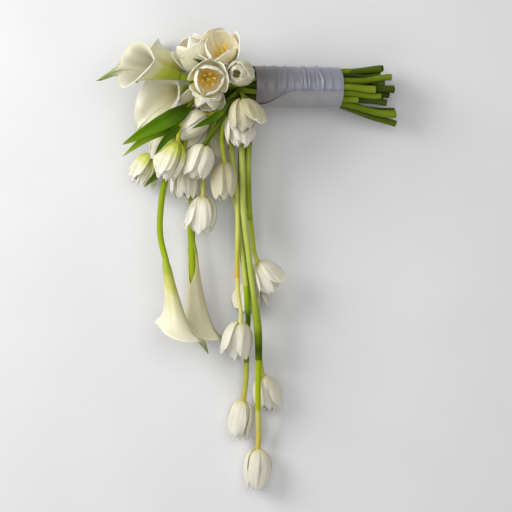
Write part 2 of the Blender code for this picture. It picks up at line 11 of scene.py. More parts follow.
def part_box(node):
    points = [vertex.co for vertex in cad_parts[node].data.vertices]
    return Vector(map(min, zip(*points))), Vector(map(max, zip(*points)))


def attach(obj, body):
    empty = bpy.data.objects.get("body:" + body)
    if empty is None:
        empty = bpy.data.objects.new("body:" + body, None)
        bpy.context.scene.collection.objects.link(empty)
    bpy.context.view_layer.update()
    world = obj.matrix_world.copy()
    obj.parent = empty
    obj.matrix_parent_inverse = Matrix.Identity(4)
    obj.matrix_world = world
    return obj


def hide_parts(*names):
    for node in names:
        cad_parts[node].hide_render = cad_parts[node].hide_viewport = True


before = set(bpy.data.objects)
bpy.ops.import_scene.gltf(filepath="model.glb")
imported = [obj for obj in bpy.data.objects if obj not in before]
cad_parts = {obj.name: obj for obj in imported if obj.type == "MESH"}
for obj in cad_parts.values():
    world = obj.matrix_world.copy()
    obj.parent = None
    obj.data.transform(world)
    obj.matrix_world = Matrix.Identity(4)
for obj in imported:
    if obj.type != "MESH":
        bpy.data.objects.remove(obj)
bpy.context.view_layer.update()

# A cascade bridal bouquet of white tulips and calla lilies, laid on its side. Every length below is in
# millimetres from the binding point, the end of the ribbon nearest the flowers, above the table.
scene = bpy.context.scene
scene.view_settings.view_transform = "Standard"

handle = dict(
    height=66.0,  # of the binding point above the table
    tilt=radians(10.7),  # the bound stems slope down to their cut ends
    length=121.0,  # of the ribbon along the stems
    cuffRadius=30.0,  # the wrap's widest ring, at the binding point
    rings=dict(outer=(16, 23.0), middle=(9, 14.2), inner=(3, 5.6)),  # places on each ring, its radius
    cutLengths=(56.0, 86.0),  # the shortest and the longest cut end past the ribbon
    cutSpread=1.1,  # how much further apart the cut ends are than the bound stems
    # cut ends that lean towards -Y
    splayed={("outer", 11): 8.0, ("outer", 12): 26.0, ("outer", 13): 14.0, ("outer", 14): 5.0},
)
wrapLow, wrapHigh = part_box("ribbon_wrap")
home = Vector((
    wrapLow[0] + 0.001 * handle["cuffRadius"] * sin(handle["tilt"]),
    0.5 * (wrapLow[1] + wrapHigh[1]),
    wrapHigh[2] - 0.001 * (handle["height"] + handle["cuffRadius"] * cos(handle["tilt"])),
))
toWorld = Matrix.Translation(home) @ Matrix.Scale(0.001, 4)

# Each tulip's place on the bundle, the foot of its bloom and the way it faces, its length and radius, how
# open its outer and inner petals are, the turn of its petals in degrees, the points that its stem passes
# through, and the looks of its petals and stem. Some have wider petals (span, tip), petals wound in a
# spiral, smoother or more torn ones (rough, below or above 1), loose petals that are more or less open
# than the rest (0, 2 and 4 are outer ones), a stem of other radii (thick), or joints in it, in mm past
# the binding point.
tulips = {
    "01": dict(
        slot=("outer", 4), base=(-70, 24, 70), aim=(-0.52, 0.78, 0.3), length=50, radius=19,
        opening=(0.62, 0.4), turn=4, span=1.3, tip=0.66, rough=0.35, loose={1: 0.22, 2: 0.45},
        through=[(-34, 20, 67)], petals="open", stem=("dark", "mid")),
    "02": dict(
        slot=("outer", 3), base=(-40, 38, 80), aim=(-0.18, 0.42, 0.89), length=48, radius=19,
        opening=(0.62, 0.48), turn=75, span=1.25, tip=0.68, rough=0.35,
        loose={0: 0.8, 1: 0.6, 2: 0.7, 3: 0.48, 4: 0.7, 5: 0.58}, petals="open"),
    "03": dict(
        slot=("outer", 0), base=(-63, 8, 107), aim=(0.1, -0.16, 1.0), length=42, radius=19,
        opening=(0.64, 0.5), turn=10, span=1.2, tip=0.68, rough=0.4, through=[(-24, -2, 92), (-46, 0, 95)],
        petals="golden", stem=("dark", "mid")),
    "04": dict(
        slot=("outer", 2), base=(-11, 15, 104), aim=(-0.32, -0.08, 0.94), length=38, radius=17,
        opening=(0.24, 0.14), turn=255, span=1.25, tip=0.6, spiral=0.3, rough=0.5, loose={0: 0.12},
        petals="shadedBeige", through=[(-10, 18, 90)], stem=("dark", "mid")),
    "05": dict(
        slot=("outer", 1), base=(-59, 1, 81), aim=(-0.2, -0.92, 0.28), length=38, radius=17,
        opening=(0.66, 0.4), turn=0, span=1.3, tip=0.68, rough=0.35, loose={2: 1.2},
        through=[(-12, 8, 89), (-26, 9, 88), (-45, 12, 85)], petals="open", stem=("light", "mid")),
    "06": dict(
        slot=("outer", 14), base=(-66, -83, 90), aim=(-0.35, -0.93, -0.02), length=50, radius=17,
        opening=(0.25, 0.05), turn=60, through=[(-14, -17, 91), (-33, -25, 97), (-46, -54, 94)],
        stem=("dark", "dark")),
    "07": dict(
        slot=("outer", 15), base=(-14, -20, 116), aim=(0.06, -0.98, -0.05), length=48, radius=17,
        opening=(0.4, 0.15), turn=78, loose={4: 1.05, 1: 0.0, 2: 0.08}, petals="shadedBeige",
        through=[(-18, -6, 102)], stem=("light", "dark")),
    "08": dict(
        slot=("middle", 8), base=(-18, -35, 82), aim=(0.0, -0.99, 0.02), length=50, radius=19,
        opening=(0.25, 0.1), turn=90, through=[(-13, -18, 77)], stem=("dark", "dark")),
    "09": dict(
        slot=("middle", 5), base=(-48, -48, 27), aim=(0.1, -0.98, 0.05), length=52, radius=15,
        opening=(0.1, 0.0), turn=15, through=[(-20, -9, 50)], petals="green"),
    "10": dict(
        slot=("middle", 0), base=(-64, -41, 72), aim=(-0.84, -0.53, 0.12), length=50, radius=17,
        opening=(0.1, 0.0), turn=55, rough=0.5, petals="cream"),
    "11": dict(
        slot=("inner", 1), base=(-66, -46, 44), aim=(-0.52, -0.85, 0.0), length=50, radius=17,
        opening=(0.15, 0.0), turn=35, rough=0.5, petals="cream", through=[(-33, -18, 56)]),
    "12": dict(
        slot=("middle", 2), base=(-106, -64, 55), aim=(-0.66, -0.75, -0.02), length=52, radius=17,
        opening=(0.25, 0.05), turn=5, through=[(-26, 10, 66), (-46, 4, 62)], petals="green"),
    "13": dict(
        slot=("outer", 7), base=(-141, -94, 34), aim=(-0.46, -0.88, -0.02), length=48, radius=15,
        opening=(0.6, 0.3), turn=45, rough=1.7, petals="green", through=[(-60, -5, 25), (-112, -50, 19)]),
    "14": dict(
        slot=("inner", 0), base=(-105, -78, 95), aim=(-0.34, -0.94, -0.05), length=58, radius=16,
        opening=(0.5, 0.25), turn=25, rough=1.6, loose={4: 0.3, 5: 0.15},
        through=[(-42, -5, 65), (-84, -28, 74)], petals="green"),
    "15": dict(
        slot=("middle", 3), base=(-95, -99, 48), aim=(-0.1, -0.98, -0.06), length=58, radius=16,
        opening=(0.45, 0.2), turn=80, rough=1.7, through=[(-42, -8, 51)]),
    "16": dict(
        slot=("middle", 7), base=(-41, -106, 76), aim=(0.0, -1.0, -0.05), length=54, radius=16,
        opening=(0.22, 0.05), turn=50, petals="shadedBeige", through=[(-30, -28, 69), (-43, -70, 71)]),
    "17": dict(
        slot=("inner", 2), base=(-70, -153, 57), aim=(0.02, -0.99, -0.1), length=53, radius=18,
        opening=(0.25, 0.08), turn=15, loose={1: 0.9, 4: 0.12}, stem=("mid", "light")),
    "18": dict(
        slot=("outer", 12), base=(7, -245, 48), aim=(0.42, -0.88, -0.05), length=50, radius=16,
        opening=(0.45, 0.3), turn=75, loose={4: 0.9, 3: 0.75},
        through=[(-3, -45, 56), (-4, -62, 53), (-7, -108, 57), (-6, -158, 58), (-1, -207, 54)]),
    "19": dict(
        slot=("outer", 10), base=(-5, -274, 24.1), aim=(-0.02, -1.0, 0.0), length=46, radius=18,
        opening=(0.5, 0.2), turn=30, loose={2: 0.7, 4: 0.8}, through=[(-18, -88, 32), (-13, -200, 22)]),
    "20": dict(
        slot=("middle", 6), base=(-18, -329, 54), aim=(-0.13, -0.98, -0.08), length=54, radius=17,
        opening=(0.3, 0.12), turn=-48, loose={2: 0.62}, stem=("mid", "yellow"), joints=(120, 208, 288),
        through=[(-27, -60, 52), (-28, -100, 56), (-22, -158, 60), (-21, -284, 58)]),
    "21": dict(
        slot=("outer", 11), base=(14, -407, 19.8), aim=(0.2, -0.97, 0.0), length=52, radius=16,
        opening=(0.34, 0.12), turn=62, loose={4: 0.55},
        through=[(-14, -96, 40), (-6, -200, 46), (4, -298, 44), (10, -354, 32)]),
    "22": dict(
        slot=("outer", 9), base=(-14, -442, 18.2), aim=(-0.16, -0.98, -0.02), length=53, radius=16,
        opening=(0.2, 0.08), turn=25, stem=("mid", "jointed"), thick=(4.1, 3.6), joints=(150, 268, 393),
        through=[(-30, -96, 44), (-20, -186, 46), (-10, -284, 50), (-11, -346, 25)]),
    "23": dict(
        slot=("outer", 13), base=(7, -510, 20.6), aim=(-0.06, -1.0, -0.02), length=57, radius=18,
        opening=(0.12, 0.05), turn=-20, stem=("light", "sheathed"), thick=(4.6, 3.9),
        joints=(170, 296, 469),
        through=[(-16, -36, 72), (-17, -62, 62), (-15, -108, 68), (-13, -170, 69),
                 (-4, -242, 64), (3, -298, 58), (8, -354, 55), (7, -438, 46)]),
}

# Each calla lily's place on the bundle, the foot of its spathe, the way it faces and the side of its tip,
# the heights of its back and front and how quickly one falls to the other, the radius of its mouth, how far
# its rim flares and its tip curls, how slender it is, the waves of its rim, the length and the sideways
# bend of its thin tail, where its edges overlap in degrees from the tip, and points of its stem. One
# has a lining greyed as painted shade, one a short spike of florets, and one a corner in its rim: its
# direction in radians, less half a turn, and how far out it reaches. One gapes at its foot, so that its
# stem shows: the share of half a turn that stays open, how far the stem runs on inside, and its radii.
callas = {
    "1": dict(
        slot=("middle", 1), base=(-97, 11, 90), aim=(-0.92, 0.22, 0.33), side=(-0.6, -0.12, -0.78), back=86,
        front=57, hood=0.45, mouth=23, flare=9, curl=3, slender=1.25, wave=2.5, tail=(30, 26), seam=150,
        look="green", lining="shadedGrey", through=[(-45, 8, 74)]),
    "2": dict(
        slot=("outer", 5), base=(-88, 29, 24.5), aim=(-0.95, 0.22, 0.16), side=(-0.1, -0.6, 0.4), back=76,
        front=56, hood=1.0, mouth=23, flare=6, curl=10, slender=0.95, wave=2.5, tail=(8, 0), seam=180,
        look="plain"),
    "3": dict(
        slot=("outer", 6), base=(-90, 0, 50), aim=(-0.78, -0.44, 0.42), side=(-0.65, -0.7, -0.3), back=86,
        front=28, hood=0.75, mouth=25, flare=7, curl=12, slender=1.2, wave=3.0, tail=(22, 10), seam=120,
        look="green", spike=8),
    "4": dict(
        slot=("middle", 4), base=(-123, -239, 64), aim=(0.186, -0.983, -0.02), side=(0.9, 0.17, 0.34),
        back=128, front=88, hood=0.6, mouth=18, flare=7, curl=8, slender=1.7, wave=1.6, tail=(22, -6),
        seam=250, look="plain", corner=(0.0, 7),
        through=[(-70, -50, 36), (-106, -130, 56), (-124, -190, 62)]),
    "5": dict(
        slot=("outer", 8), base=(-87, -214, 21), aim=(0.063, -0.998, 0.0), side=(0.93, 0.06, 0.3), back=147,
        front=126, hood=0.8, mouth=19, flare=8, curl=8, slender=1.5, wave=2.0, tail=(18, -4), seam=105,
        look="ivory", gape=0.34, inside=70, thick=(4.3, 5.2),
        through=[(-66, -52, 20), (-84, -115, 22), (-86, -165, 20)]),
}


def lerp(start, end, share):
    return start + (end - start) * share


def ramped(value, start, end):
    # 0 before the start, 1 after the end, with soft shoulders between them
    share = min(1.0, max(0.0, (value - start) / (end - start)))
    return share * share * (3 - 2 * share)


def noiseAt(*spot):
    return noise.noise(Vector(spot))


def facing(aim, side=(0, 0, 1)):
    # turns +Z to one direction, and +X as near as it can to the other
    up = Vector(aim).normalized()
    across = Vector(side) - up * up.dot(Vector(side))
    if across.length < 0.1:
        across = up.orthogonal()
    across.normalize()
    return Matrix((across, up.cross(across), up)).transposed().to_4x4()


def addSheet(work, columns, rows, place, painted=None):
    # a grid whose points go to place(u, v), with u from -1 to 1 across and v from 0 to 1 along;
    # painted gives each row's place on the material's colour ramp, where that isn't v
    points = bmesh.ops.create_grid(work, x_segments=columns, y_segments=rows, size=1.0)["verts"]
    layer = work.loops.layers.uv["surface"]
    for vert in points:
        along = 0.5 + 0.5 * vert.co.y
        for loop in vert.link_loops:
            loop[layer].uv = (0.5 + 0.5 * vert.co.x, painted[round(along * rows)] if painted else along)
    for vert in points:
        vert.co = place(vert.co.x, 0.5 + 0.5 * vert.co.y)
    return points


def newWork():
    work = bmesh.new()
    work.loops.layers.uv.new("surface")
    return work


def newObject(name, data):
    made = bpy.data.objects.new(name, data)
    scene.collection.objects.link(made)
    return made


def newPiece(name, work, materials, node, place=Matrix(), rest=0.1):
    # rest: a point lower than this above the table is pressed up to it
    bmesh.ops.transform(work, matrix=toWorld @ place, verts=work.verts)
    for vert in work.verts:
        vert.co.z = max(vert.co.z, 0.001 * rest)
    mesh = bpy.data.meshes.new(name)
    work.to_mesh(mesh)
    work.free()
    mesh.shade_smooth()
    for material in materials:
        mesh.materials.append(material)
    piece = newObject(name, mesh)
    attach(piece, "root")
    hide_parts(node)
    return piece


def thicken(piece, thickness, insideMaterial=0):
    # the face that looks away from the flower's axis keeps the first material
    wall = piece.modifiers.new("thickness", "SOLIDIFY")
    wall.thickness = 0.001 * thickness
    wall.offset = 0
    wall.material_offset = insideMaterial
    return piece


def addTube(work, points, radii, sides, painted=None):
    # a round bar along the points, with flat cut ends; its seam lies underneath
    ways = []
    for index in range(len(points)):
        before, after = points[max(0, index - 1)], points[min(len(points) - 1, index + 1)]
        ways.append((after - before).normalized())
    upright = Vector((0, 0, 1)) if abs(ways[0].z) < 0.9 else Vector((1, 0, 0))
    frames = []
    for way in ways:
        upright = (upright - way * way.dot(upright)).normalized()
        frames.append((upright, way.cross(upright)))
    last = len(points) - 1

    def place(u, v):
        index = round(v * last)
        over, aside = frames[index]
        angle = pi * u
        return points[index] + radii[index] * (cos(angle) * over + sin(angle) * aside)

    added = addSheet(work, sides, last, place, painted)
    bmesh.ops.remove_doubles(work, verts=added, dist=0.001)
    rims = [edge for edge in work.edges if edge.is_boundary]
    caps = bmesh.ops.holes_fill(work, edges=rims, sides=0)["faces"]
    bmesh.ops.recalc_face_normals(work, faces=work.faces)
    return caps


def fromHex(text):
    # an sRGB colour as Blender's linear one
    parts = [int(text[place:place + 2], 16) / 255 for place in (1, 3, 5)]
    return (*[(part / 12.92 if part <= 0.04045 else ((part + 0.055) / 1.055) ** 2.4) for part in parts], 1.0)


def addNode(tree, kind, values=None, links=None, stops=None, **settings):
    node = tree.nodes.new("ShaderNode" + kind)
    for name, value in settings.items():
        setattr(node, name, value)
    for socket, value in (values or {}).items():
        node.inputs[socket].default_value = value
    for socket, source in (links or {}).items():
        tree.links.new(source, node.inputs[socket])
    if stops:
        ramp = node.color_ramp
        ramp.interpolation = "EASE"
        while len(ramp.elements) < len(stops):
            ramp.elements.new(0.5)
        for element, (place, colour) in zip(ramp.elements, stops.items()):
            element.position = place
            element.color = fromHex(colour)
    return node


def paintOver(tree, colour, *layers):
    # more colours over the first: for each, what it follows, how much of it shows along that, and its hex
    for source, stops, over in layers:
        share = addNode(tree, "ValToRGB", None, {0: source}, stops).outputs["Color"]
        colour = addNode(tree, "Mix", {7: fromHex(over)}, {0: share, 6: colour}, data_type="RGBA").outputs[2]
    return colour


def newMaterial(name, finish):
    material = bpy.data.materials.new(name)
    material.use_nodes = True
    shader = material.node_tree.nodes["Principled BSDF"]
    for socket, value in finish.items():
        shader.inputs[socket].default_value = value
    return material, material.node_tree, shader


def cover(tree, shader, colour, pattern, roughness, relief, depth):
    # gives the shader its colour, and lets a pattern roughen and raise the surface
    rough = addNode(tree, "MapRange", {"To Min": roughness[0], "To Max": roughness[1]}, {0: pattern})
    raised = addNode(tree, "Bump", {"Strength": relief, "Distance": depth}, {"Height": pattern})
    tree.links.new(colour, shader.inputs["Base Color"])
    tree.links.new(rough.outputs[0], shader.inputs["Roughness"])
    tree.links.new(raised.outputs[0], shader.inputs["Normal"])


def skin(name, coat, **changes):
    # petals, leaves and stems: a colour that runs along the piece, a rib, cloudy patches and fine streaks
    coat = {**coat, **changes}
    material, tree, shader = newMaterial(name, coat["finish"])
    surface = addNode(tree, "UVMap", uv_map="surface").outputs["UV"]
    here = addNode(tree, "SeparateXYZ", None, {0: surface}).outputs
    solid = addNode(tree, "TexCoord").outputs["Object"]
    patches = addNode(tree, "TexNoise", {"Scale": 1000 / coat["patchSize"], "Detail": 3.0},
                      {"Vector": solid}).outputs[0]
    wander = addNode(tree, "Math", {1: coat["wander"]}, {0: patches}, operation="MULTIPLY")
    along = addNode(tree, "Math", None, {0: here["Y"], 1: wander.outputs[0]}, operation="ADD")
    centred = addNode(tree, "Math", {1: 0.5 * coat["wander"]}, {0: along.outputs[0]}, operation="SUBTRACT")
    drawn = addNode(tree, "Mapping", {"Scale": (coat["streaks"], 1.3, 1.0)}, {0: surface})
    streaks = addNode(tree, "TexNoise", {"Scale": 1.0, "Detail": 4.0},
                      {"Vector": drawn.outputs[0]}).outputs[0]
    colour = addNode(tree, "ValToRGB", None, {0: centred.outputs[0]}, coat["along"]).outputs["Color"]
    colour = paintOver(tree, colour, (here["X"], coat["rib"], coat["ribColour"]),
                       (patches, coat["patches"], coat["patchColour"]),
                       (streaks, coat["streakStops"], coat["streakColour"]))
    cover(tree, shader, colour, streaks, coat["roughness"], coat["relief"], 0.0004)
    return material


petalFinish = {"IOR": 1.42, "Subsurface Weight": 0.55, "Subsurface Radius": (1.0, 0.9, 0.6),
               "Subsurface Scale": 0.003, "Sheen Weight": 0.1, "Sheen Roughness": 0.5}
petalCoat = dict(
    # a tulip petal: waxy and half see-through, white with the stem's yellow-green drawn up into its foot
    finish=petalFinish, roughness=(0.42, 0.56), relief=0.35, patchSize=16.0, wander=0.12,
    along={0: "#b4b24a", 0.07: "#d8d08c", 0.2: "#e2dabe", 0.5: "#e4deca", 1: "#e2decf"},
    rib={0.4: "#000000", 0.5: "#484848", 0.6: "#000000"}, ribColour="#cbcaa0",
    patches={0.42: "#000000", 0.75: "#909090"}, patchColour="#d6c9a8",
    streaks=22.0,  # real veins are under 1 mm apart; these are 1.5 mm, so that they show
    streakStops={0.5: "#000000", 0.75: "#606060"}, streakColour="#cdc8a8",
)
leafFinish = {"IOR": 1.38, "Specular IOR Level": 0.15, "Subsurface Weight": 0.05,
              "Subsurface Radius": (0.8, 1.0, 0.2), "Subsurface Scale": 0.002}
stemCoat = dict(
    # a tulip stem: smooth and juicy, with a faint bloom of wax and long fibres just under its skin
    finish=leafFinish, roughness=(0.36, 0.52), relief=0.3, patchSize=26.0, wander=0.16,
    rib={0: "#000000", 1: "#000000"}, ribColour="#88a040",
    patches={0.45: "#000000", 0.8: "#808080"}, patchColour="#4f5f06",
    streaks=14.0, streakStops={0.5: "#000000", 0.8: "#808080"}, streakColour="#a6ae40",
)
# a tulip leaf: matt wax over straight parallel veins
leafCoat = dict(
    stemCoat, roughness=(0.38, 0.52), relief=0.6, patchSize=34.0,
    along={0: "#546c04", 0.2: "#344e00", 0.45: "#4e7202", 0.8: "#608204", 1: "#7c9018"},
    rib={0.44: "#000000", 0.5: "#707070", 0.56: "#000000"}, ribColour="#7c9618",
    patchColour="#3e5c00", streaks=22.0, streakColour="#748e10",
)
spatheCoat = dict(
    # a calla's spathe: one thick waxy sheet, ivory, green at its foot and along the veins of its tip
    finish={**petalFinish, "Sheen Weight": 0.05, "Coat Weight": 0.1, "Coat Roughness": 0.4},
    roughness=(0.36, 0.48), relief=0.3, patchSize=26.0, wander=0.16,
    along={0: "#9aae18", 0.14: "#a2b024", 0.32: "#c6c45c", 0.5: "#ddd6a2", 0.75: "#e2dcbe",
           0.95: "#e3dfca"},
    # the rib's dark olive is partly a green vein up to the tip and partly painted shade on the edge that
    # turns from the light
    rib={0.42: "#000000", 0.5: "#f0f0f0", 0.58: "#000000"}, ribColour="#748c1c",
    patches={0.45: "#000000", 0.85: "#808080"}, patchColour="#d3c998",
    streaks=9.0, streakStops={0.5: "#000000", 0.8: "#505050"}, streakColour="#c6c78c",
)

# the looks of a petal: its outer skin, which has pale edges, painted highlights, on the wide open blooms,
# and its inner skin
petalInner = skin("tulipPetalInner", petalCoat,
                  along={0: "#c9c458", 0.12: "#dcd598", 0.35: "#e3dcc2", 1: "#e6e2d4"})
# painted highlights: its side edges and the rim of its tip are painted near white
petalCreamLitRims = skin("tulipPetalCreamPaintedRims", petalCoat, patchColour="#d4c896",
                  rib={0: "#ffffff", 0.09: "#000000", 0.91: "#000000", 1: "#ffffff"}, ribColour="#f6f3e6",
                  along={0: "#b4b24a", 0.07: "#d4cf86", 0.2: "#dcd6ac", 0.5: "#e4dec0", 0.9: "#e8e3cc",
                         1: "#f6f3e6"})
# painted shade: a darker, warmer beige with stronger dark patches, for blooms that lie deep among the others
petalShadedBeige = skin("tulipPetalBeigePaintedShade", petalCoat, streakColour="#b4ac88",
                  patches={0.4: "#000000", 0.7: "#a0a0a0"}, patchColour="#a89c74",
                  along={0: "#a8a440", 0.07: "#c2b87c", 0.22: "#bdb48c", 0.55: "#c9c1a2", 1: "#d8d1bc"})
petalGreen = skin("tulipPetalGreenFoot", petalCoat,
                  along={0: "#9cac0c", 0.22: "#b2be24", 0.4: "#ccd070", 0.58: "#e2dcbc", 1: "#e2decf"})
# painted highlight: both throats end in a near white rim at the tip
throatYellow = skin("tulipPetalYellowThroat", petalCoat,
                    along={0: "#f0bc30", 0.1: "#f2d47c", 0.22: "#f1e5b6", 0.5: "#f2eac8", 0.9: "#f1ebd6",
                           1: "#f8f5ea"})
throatGolden = skin("tulipPetalGoldenThroat", petalCoat,
                    along={0: "#f6a400", 0.1: "#f8b424", 0.17: "#f5d27c", 0.27: "#f0e6be", 0.9: "#efead6",
                           1: "#f8f6ee"})
petalLooks = dict(
    plain=[skin("tulipPetalOuter", petalCoat), petalInner],
    cream=[petalCreamLitRims, petalInner],
    shadedBeige=[petalShadedBeige, petalInner],
    green=[petalGreen, petalInner],
    open=[petalCreamLitRims, throatYellow],
    golden=[petalCreamLitRims, throatGolden],
)
# a stem's colours from its cut end to the flowers (0 to 0.5), and from there to its bloom; a joint shows
# as a step of colour. Every stem is darker about 0.5, just past the binding point, than further on, as
# painted shade under the blooms; the dark tones are darker stems, deepened as painted shade where they
# lie in shadow among the others
cutTones = dict(
    dark={0: "#3c4a0a", 0.12: "#26330a", 0.3: "#2c3a06", 0.5: "#2e3a04"},
    mid={0: "#50600a", 0.12: "#42520a", 0.3: "#485a08", 0.5: "#445206"},
    light={0: "#72821a", 0.12: "#5c6e0c", 0.3: "#66780c", 0.5: "#6a7a0e"},
)
freeTones = dict(
    dark={0.75: "#44560a", 1: "#4e5e0e"},
    mid={0.75: "#8a9c1c", 0.94: "#a6b032", 1: "#bcb848"},
    light={0.62: "#a6ae4c", 0.8: "#9aa83a", 0.92: "#b2b23c", 1: "#cfc86c"},
    yellow={0.55: "#a6ae50", 0.68: "#c2c866", 0.8: "#c4c864", 0.87: "#bcb640", 0.9: "#ccac34",
            0.906: "#ccac34", 0.911: "#d4cc6c", 1: "#d4cc84"},
    jointed={0.54: "#a0aa50", 0.65: "#bcc474", 0.8: "#b6be60", 0.806: "#8cac10", 0.84: "#7c9c08",
             0.85: "#587404", 0.937: "#5f8204", 0.942: "#b4ba48", 1: "#bcb24c"},
    sheathed={0.54: "#9ca84c", 0.62: "#b4bc64", 0.76: "#aab852", 0.78: "#a8b058", 0.784: "#8ca424",
              0.9: "#9aac14", 0.942: "#a6b018", 0.947: "#c9c870", 1: "#c6b858"},
)


def stemSkin(cutTone, freeTone):
    name = f"tulipStem{cutTone.capitalize()}{freeTone.capitalize()}"
    dim = dict(dark="#34430a", mid="#5f720a", yellow="#b9a030").get(freeTone, "#7c8e14")
    stepped = freeTone in ("yellow", "jointed", "sheathed")
    return bpy.data.materials.get(name) or skin(
        name, stemCoat, along={**cutTones[cutTone], **freeTones[freeTone]}, patchColour=dim,
        wander=0.01 if stepped else stemCoat["wander"])


callaStemSkin = skin("callaStemSkin", stemCoat, patchColour="#566a06", streakColour="#a4b440",
                     along={0: "#5a6c10", 0.5: "#5c7408", 0.75: "#76900c", 0.9: "#8ba00e", 1: "#9aae18"})
# the cut end: pale wet fibre
pith = skin("cutStemPith", stemCoat, along={0: "#7c8238", 1: "#8a8c44"}, patchColour="#59521c",
            streakColour="#b6b878", streaks=30.0)
# the skin round a cut end, dried brown
cutRim = skin("driedStemRim", stemCoat, along={0: "#5e4f1c", 1: "#6c5c24"}, patchColour="#3e3412",
              streakColour="#7c7030")
# what clasps a stem: a leaf's dark sheath, a pale collar, and the loose outer skin of a cut stem
sheathLooks = dict(
    sheath=skin("sheathGreenSkin", stemCoat, patchColour="#3c4e02",
                along={0: "#94a634", 0.42: "#8a9c24", 0.58: "#5c6e08", 0.82: "#3c4c02", 1: "#5a6a04"}),
    collar=skin("collarGreenSkin", stemCoat, patchColour="#6c7e14",
                along={0: "#8c9a34", 0.3: "#a4ae4c", 0.6: "#84941c", 0.85: "#94a22c", 1: "#7c8c10"}),
    sleeve=skin("sleeveGreenSkin", stemCoat, patchColour="#5c6e0c",
                along={0: "#9aa43e", 0.1: "#788818", 0.6: "#6a7a0e", 1: "#7c8c20"}),
)
# leaves painted darker, as painted shade where they lie in the shade of the blooms, and one painted lighter,
# as painted light that comes through it
leafSkins = dict(
    mid=skin("tulipLeafSkin", leafCoat),
    dark=skin("tulipLeafSkinPaintedShade", leafCoat, patchColour="#304c00", streakColour="#5e7c10",
              along={0: "#607804", 0.3: "#406000", 0.8: "#3a5a00", 1: "#587408"}),
    light=skin("tulipLeafSkinPaintedLight", leafCoat, patchColour="#587600", streakColour="#94a82c",
               along={0: "#546c04", 0.4: "#5c7a04", 0.75: "#7c9812", 1: "#9cb03c"}),
)
# a spathe's outer side, by how far the green reaches up from its foot; the ivory one is also greyer and
# darker, as painted shade from the calla beside it
spatheLooks = dict(
    plain=skin("callaSpatheOuter", spatheCoat),
    ivory=skin("callaSpatheIvoryPaintedShade", spatheCoat,
               along={0: "#9aae18", 0.1: "#a8b434", 0.26: "#cdc890", 0.5: "#cdc6a4", 0.95: "#d6d2ba"}),
    green=skin("callaSpatheGreenFoot", spatheCoat, patchColour="#c4c278",
               along={0: "#7c8e06", 0.3: "#98a612", 0.52: "#b8be44", 0.75: "#dcd8a8", 0.95: "#e3dfca"}),
)
# its inner side, painted darker as shade inside the spathe, and a greyer one with deeper painted shade
liningLooks = dict(
    pale=skin("callaSpatheInner", spatheCoat, patchColour="#c6bb94",
              along={0: "#a8ac4a", 0.2: "#c2bb86", 0.5: "#cfc9ac", 0.95: "#dad6c4"}),
    shadedGrey=skin("callaSpatheInnerPaintedShade", spatheCoat, patchColour="#a8a07e",
                along={0: "#a8ac4a", 0.2: "#aea884", 0.5: "#b0ab92", 0.9: "#b8b4a0", 1: "#d4d2b8"}),
)
# moist and smooth, a yellower green than the stem
pistilSkin = skin("tulipPistilSkin", stemCoat, along={0: "#c4c050", 1: "#e6dc94"}, patchColour="#b4b048")
# dry and powdery, so it spreads the light
pollen = skin("antherPollen", stemCoat, finish={"IOR": 1.4, "Sheen Weight": 0.4}, roughness=(0.8, 0.95),
              relief=0.8, patchSize=1.5, along={0: "#f8c426", 1: "#fcd038"}, patchColour="#e8a814",
              streakColour="#fce070")
# a spike of tiny packed florets, dusty with pollen
spadixSkin = skin("callaSpadixSkin", stemCoat, finish={"IOR": 1.4, "Sheen Weight": 0.3},
                  roughness=(0.7, 0.9), relief=0.8, patchSize=3.0, along={0: "#e6b62a", 1: "#edc23a"},
                  patchColour="#c98a10", streakColour="#f2d468")
print("materials made")


stemShape = dict(
    tulip=(4.1, 3.0),  # the radius at the ribbon and at the bloom
    calla=(4.3, 4.3),
    cutSwell=0.14,  # how much thicker a cut end is
    cutBend=9.0,  # how far the cut stretch bends to one side or the other
    rim=1.0, hollow=0.5, edge=0.35,  # a cut end's dried rim, how far its pith sinks in, its rounded edge
    uneven=0.035,  # how much the thickness varies along a stem
    joint=0.1, jointHalf=3.0,  # how much thicker a joint is, and half its length
    neck=5.0,  # how far under a flower's foot the stem's way ends
    inside=14,  # how far a calla's stem runs on inside its spathe
    step=8.0, fineStep=3.2, sides=14,  # between the points of a stem's way, and of its mesh
    gap=1.1, floorGap=0.2,  # the room kept between two stems, and above the table
    rounds=260, pushShare=0.6, mostPush=2.0, bloomPush=0.7,
)


def slotPoint(slot, along, spread=1.0):
    ring, index = slot
    count, radius = handle["rings"][ring]
    angle = 2 * pi * index / count
    tilt = handle["tilt"]
    axis = Vector((cos(tilt), 0, -sin(tilt)))
    above = Vector((sin(tilt), 0, cos(tilt)))
    across = radius * spread * (sin(angle) * Vector((0, 1, 0)) + cos(angle) * above)
    return Vector((0, 0, handle["height"])) + along * axis + across


def smoothPath(knots, first, last, reach=0.38):
    # a smooth curve through the knots, which leaves and arrives in the two directions
    ways = [Vector(first).normalized()]
    for before, after in zip(knots, knots[2:]):
        ways.append((after - before).normalized())
    ways.append(Vector(last).normalized())
    points = [knots[0]]
    for index in range(len(knots) - 1):
        start, end = knots[index], knots[index + 1]
        away = reach * (end - start).length
        count = max(4, int((end - start).length / stemShape["step"]) + 2)
        handles = (start + away * ways[index], end - away * ways[index + 1])
        points += interpolate_bezier(start, *handles, end, count)[1:]
    return points


def pushFrom(points, others, room, counted):
    # how far each point is moved away from all the others that are nearer than their room
    apart = points[:, None] - others[None]
    distance = np.linalg.norm(apart, axis=2) + 1e-9
    short = np.where(counted, np.clip(room - distance, 0, None), 0)
    return (apart / distance[:, :, None] * short[:, :, None]).sum(axis=1)


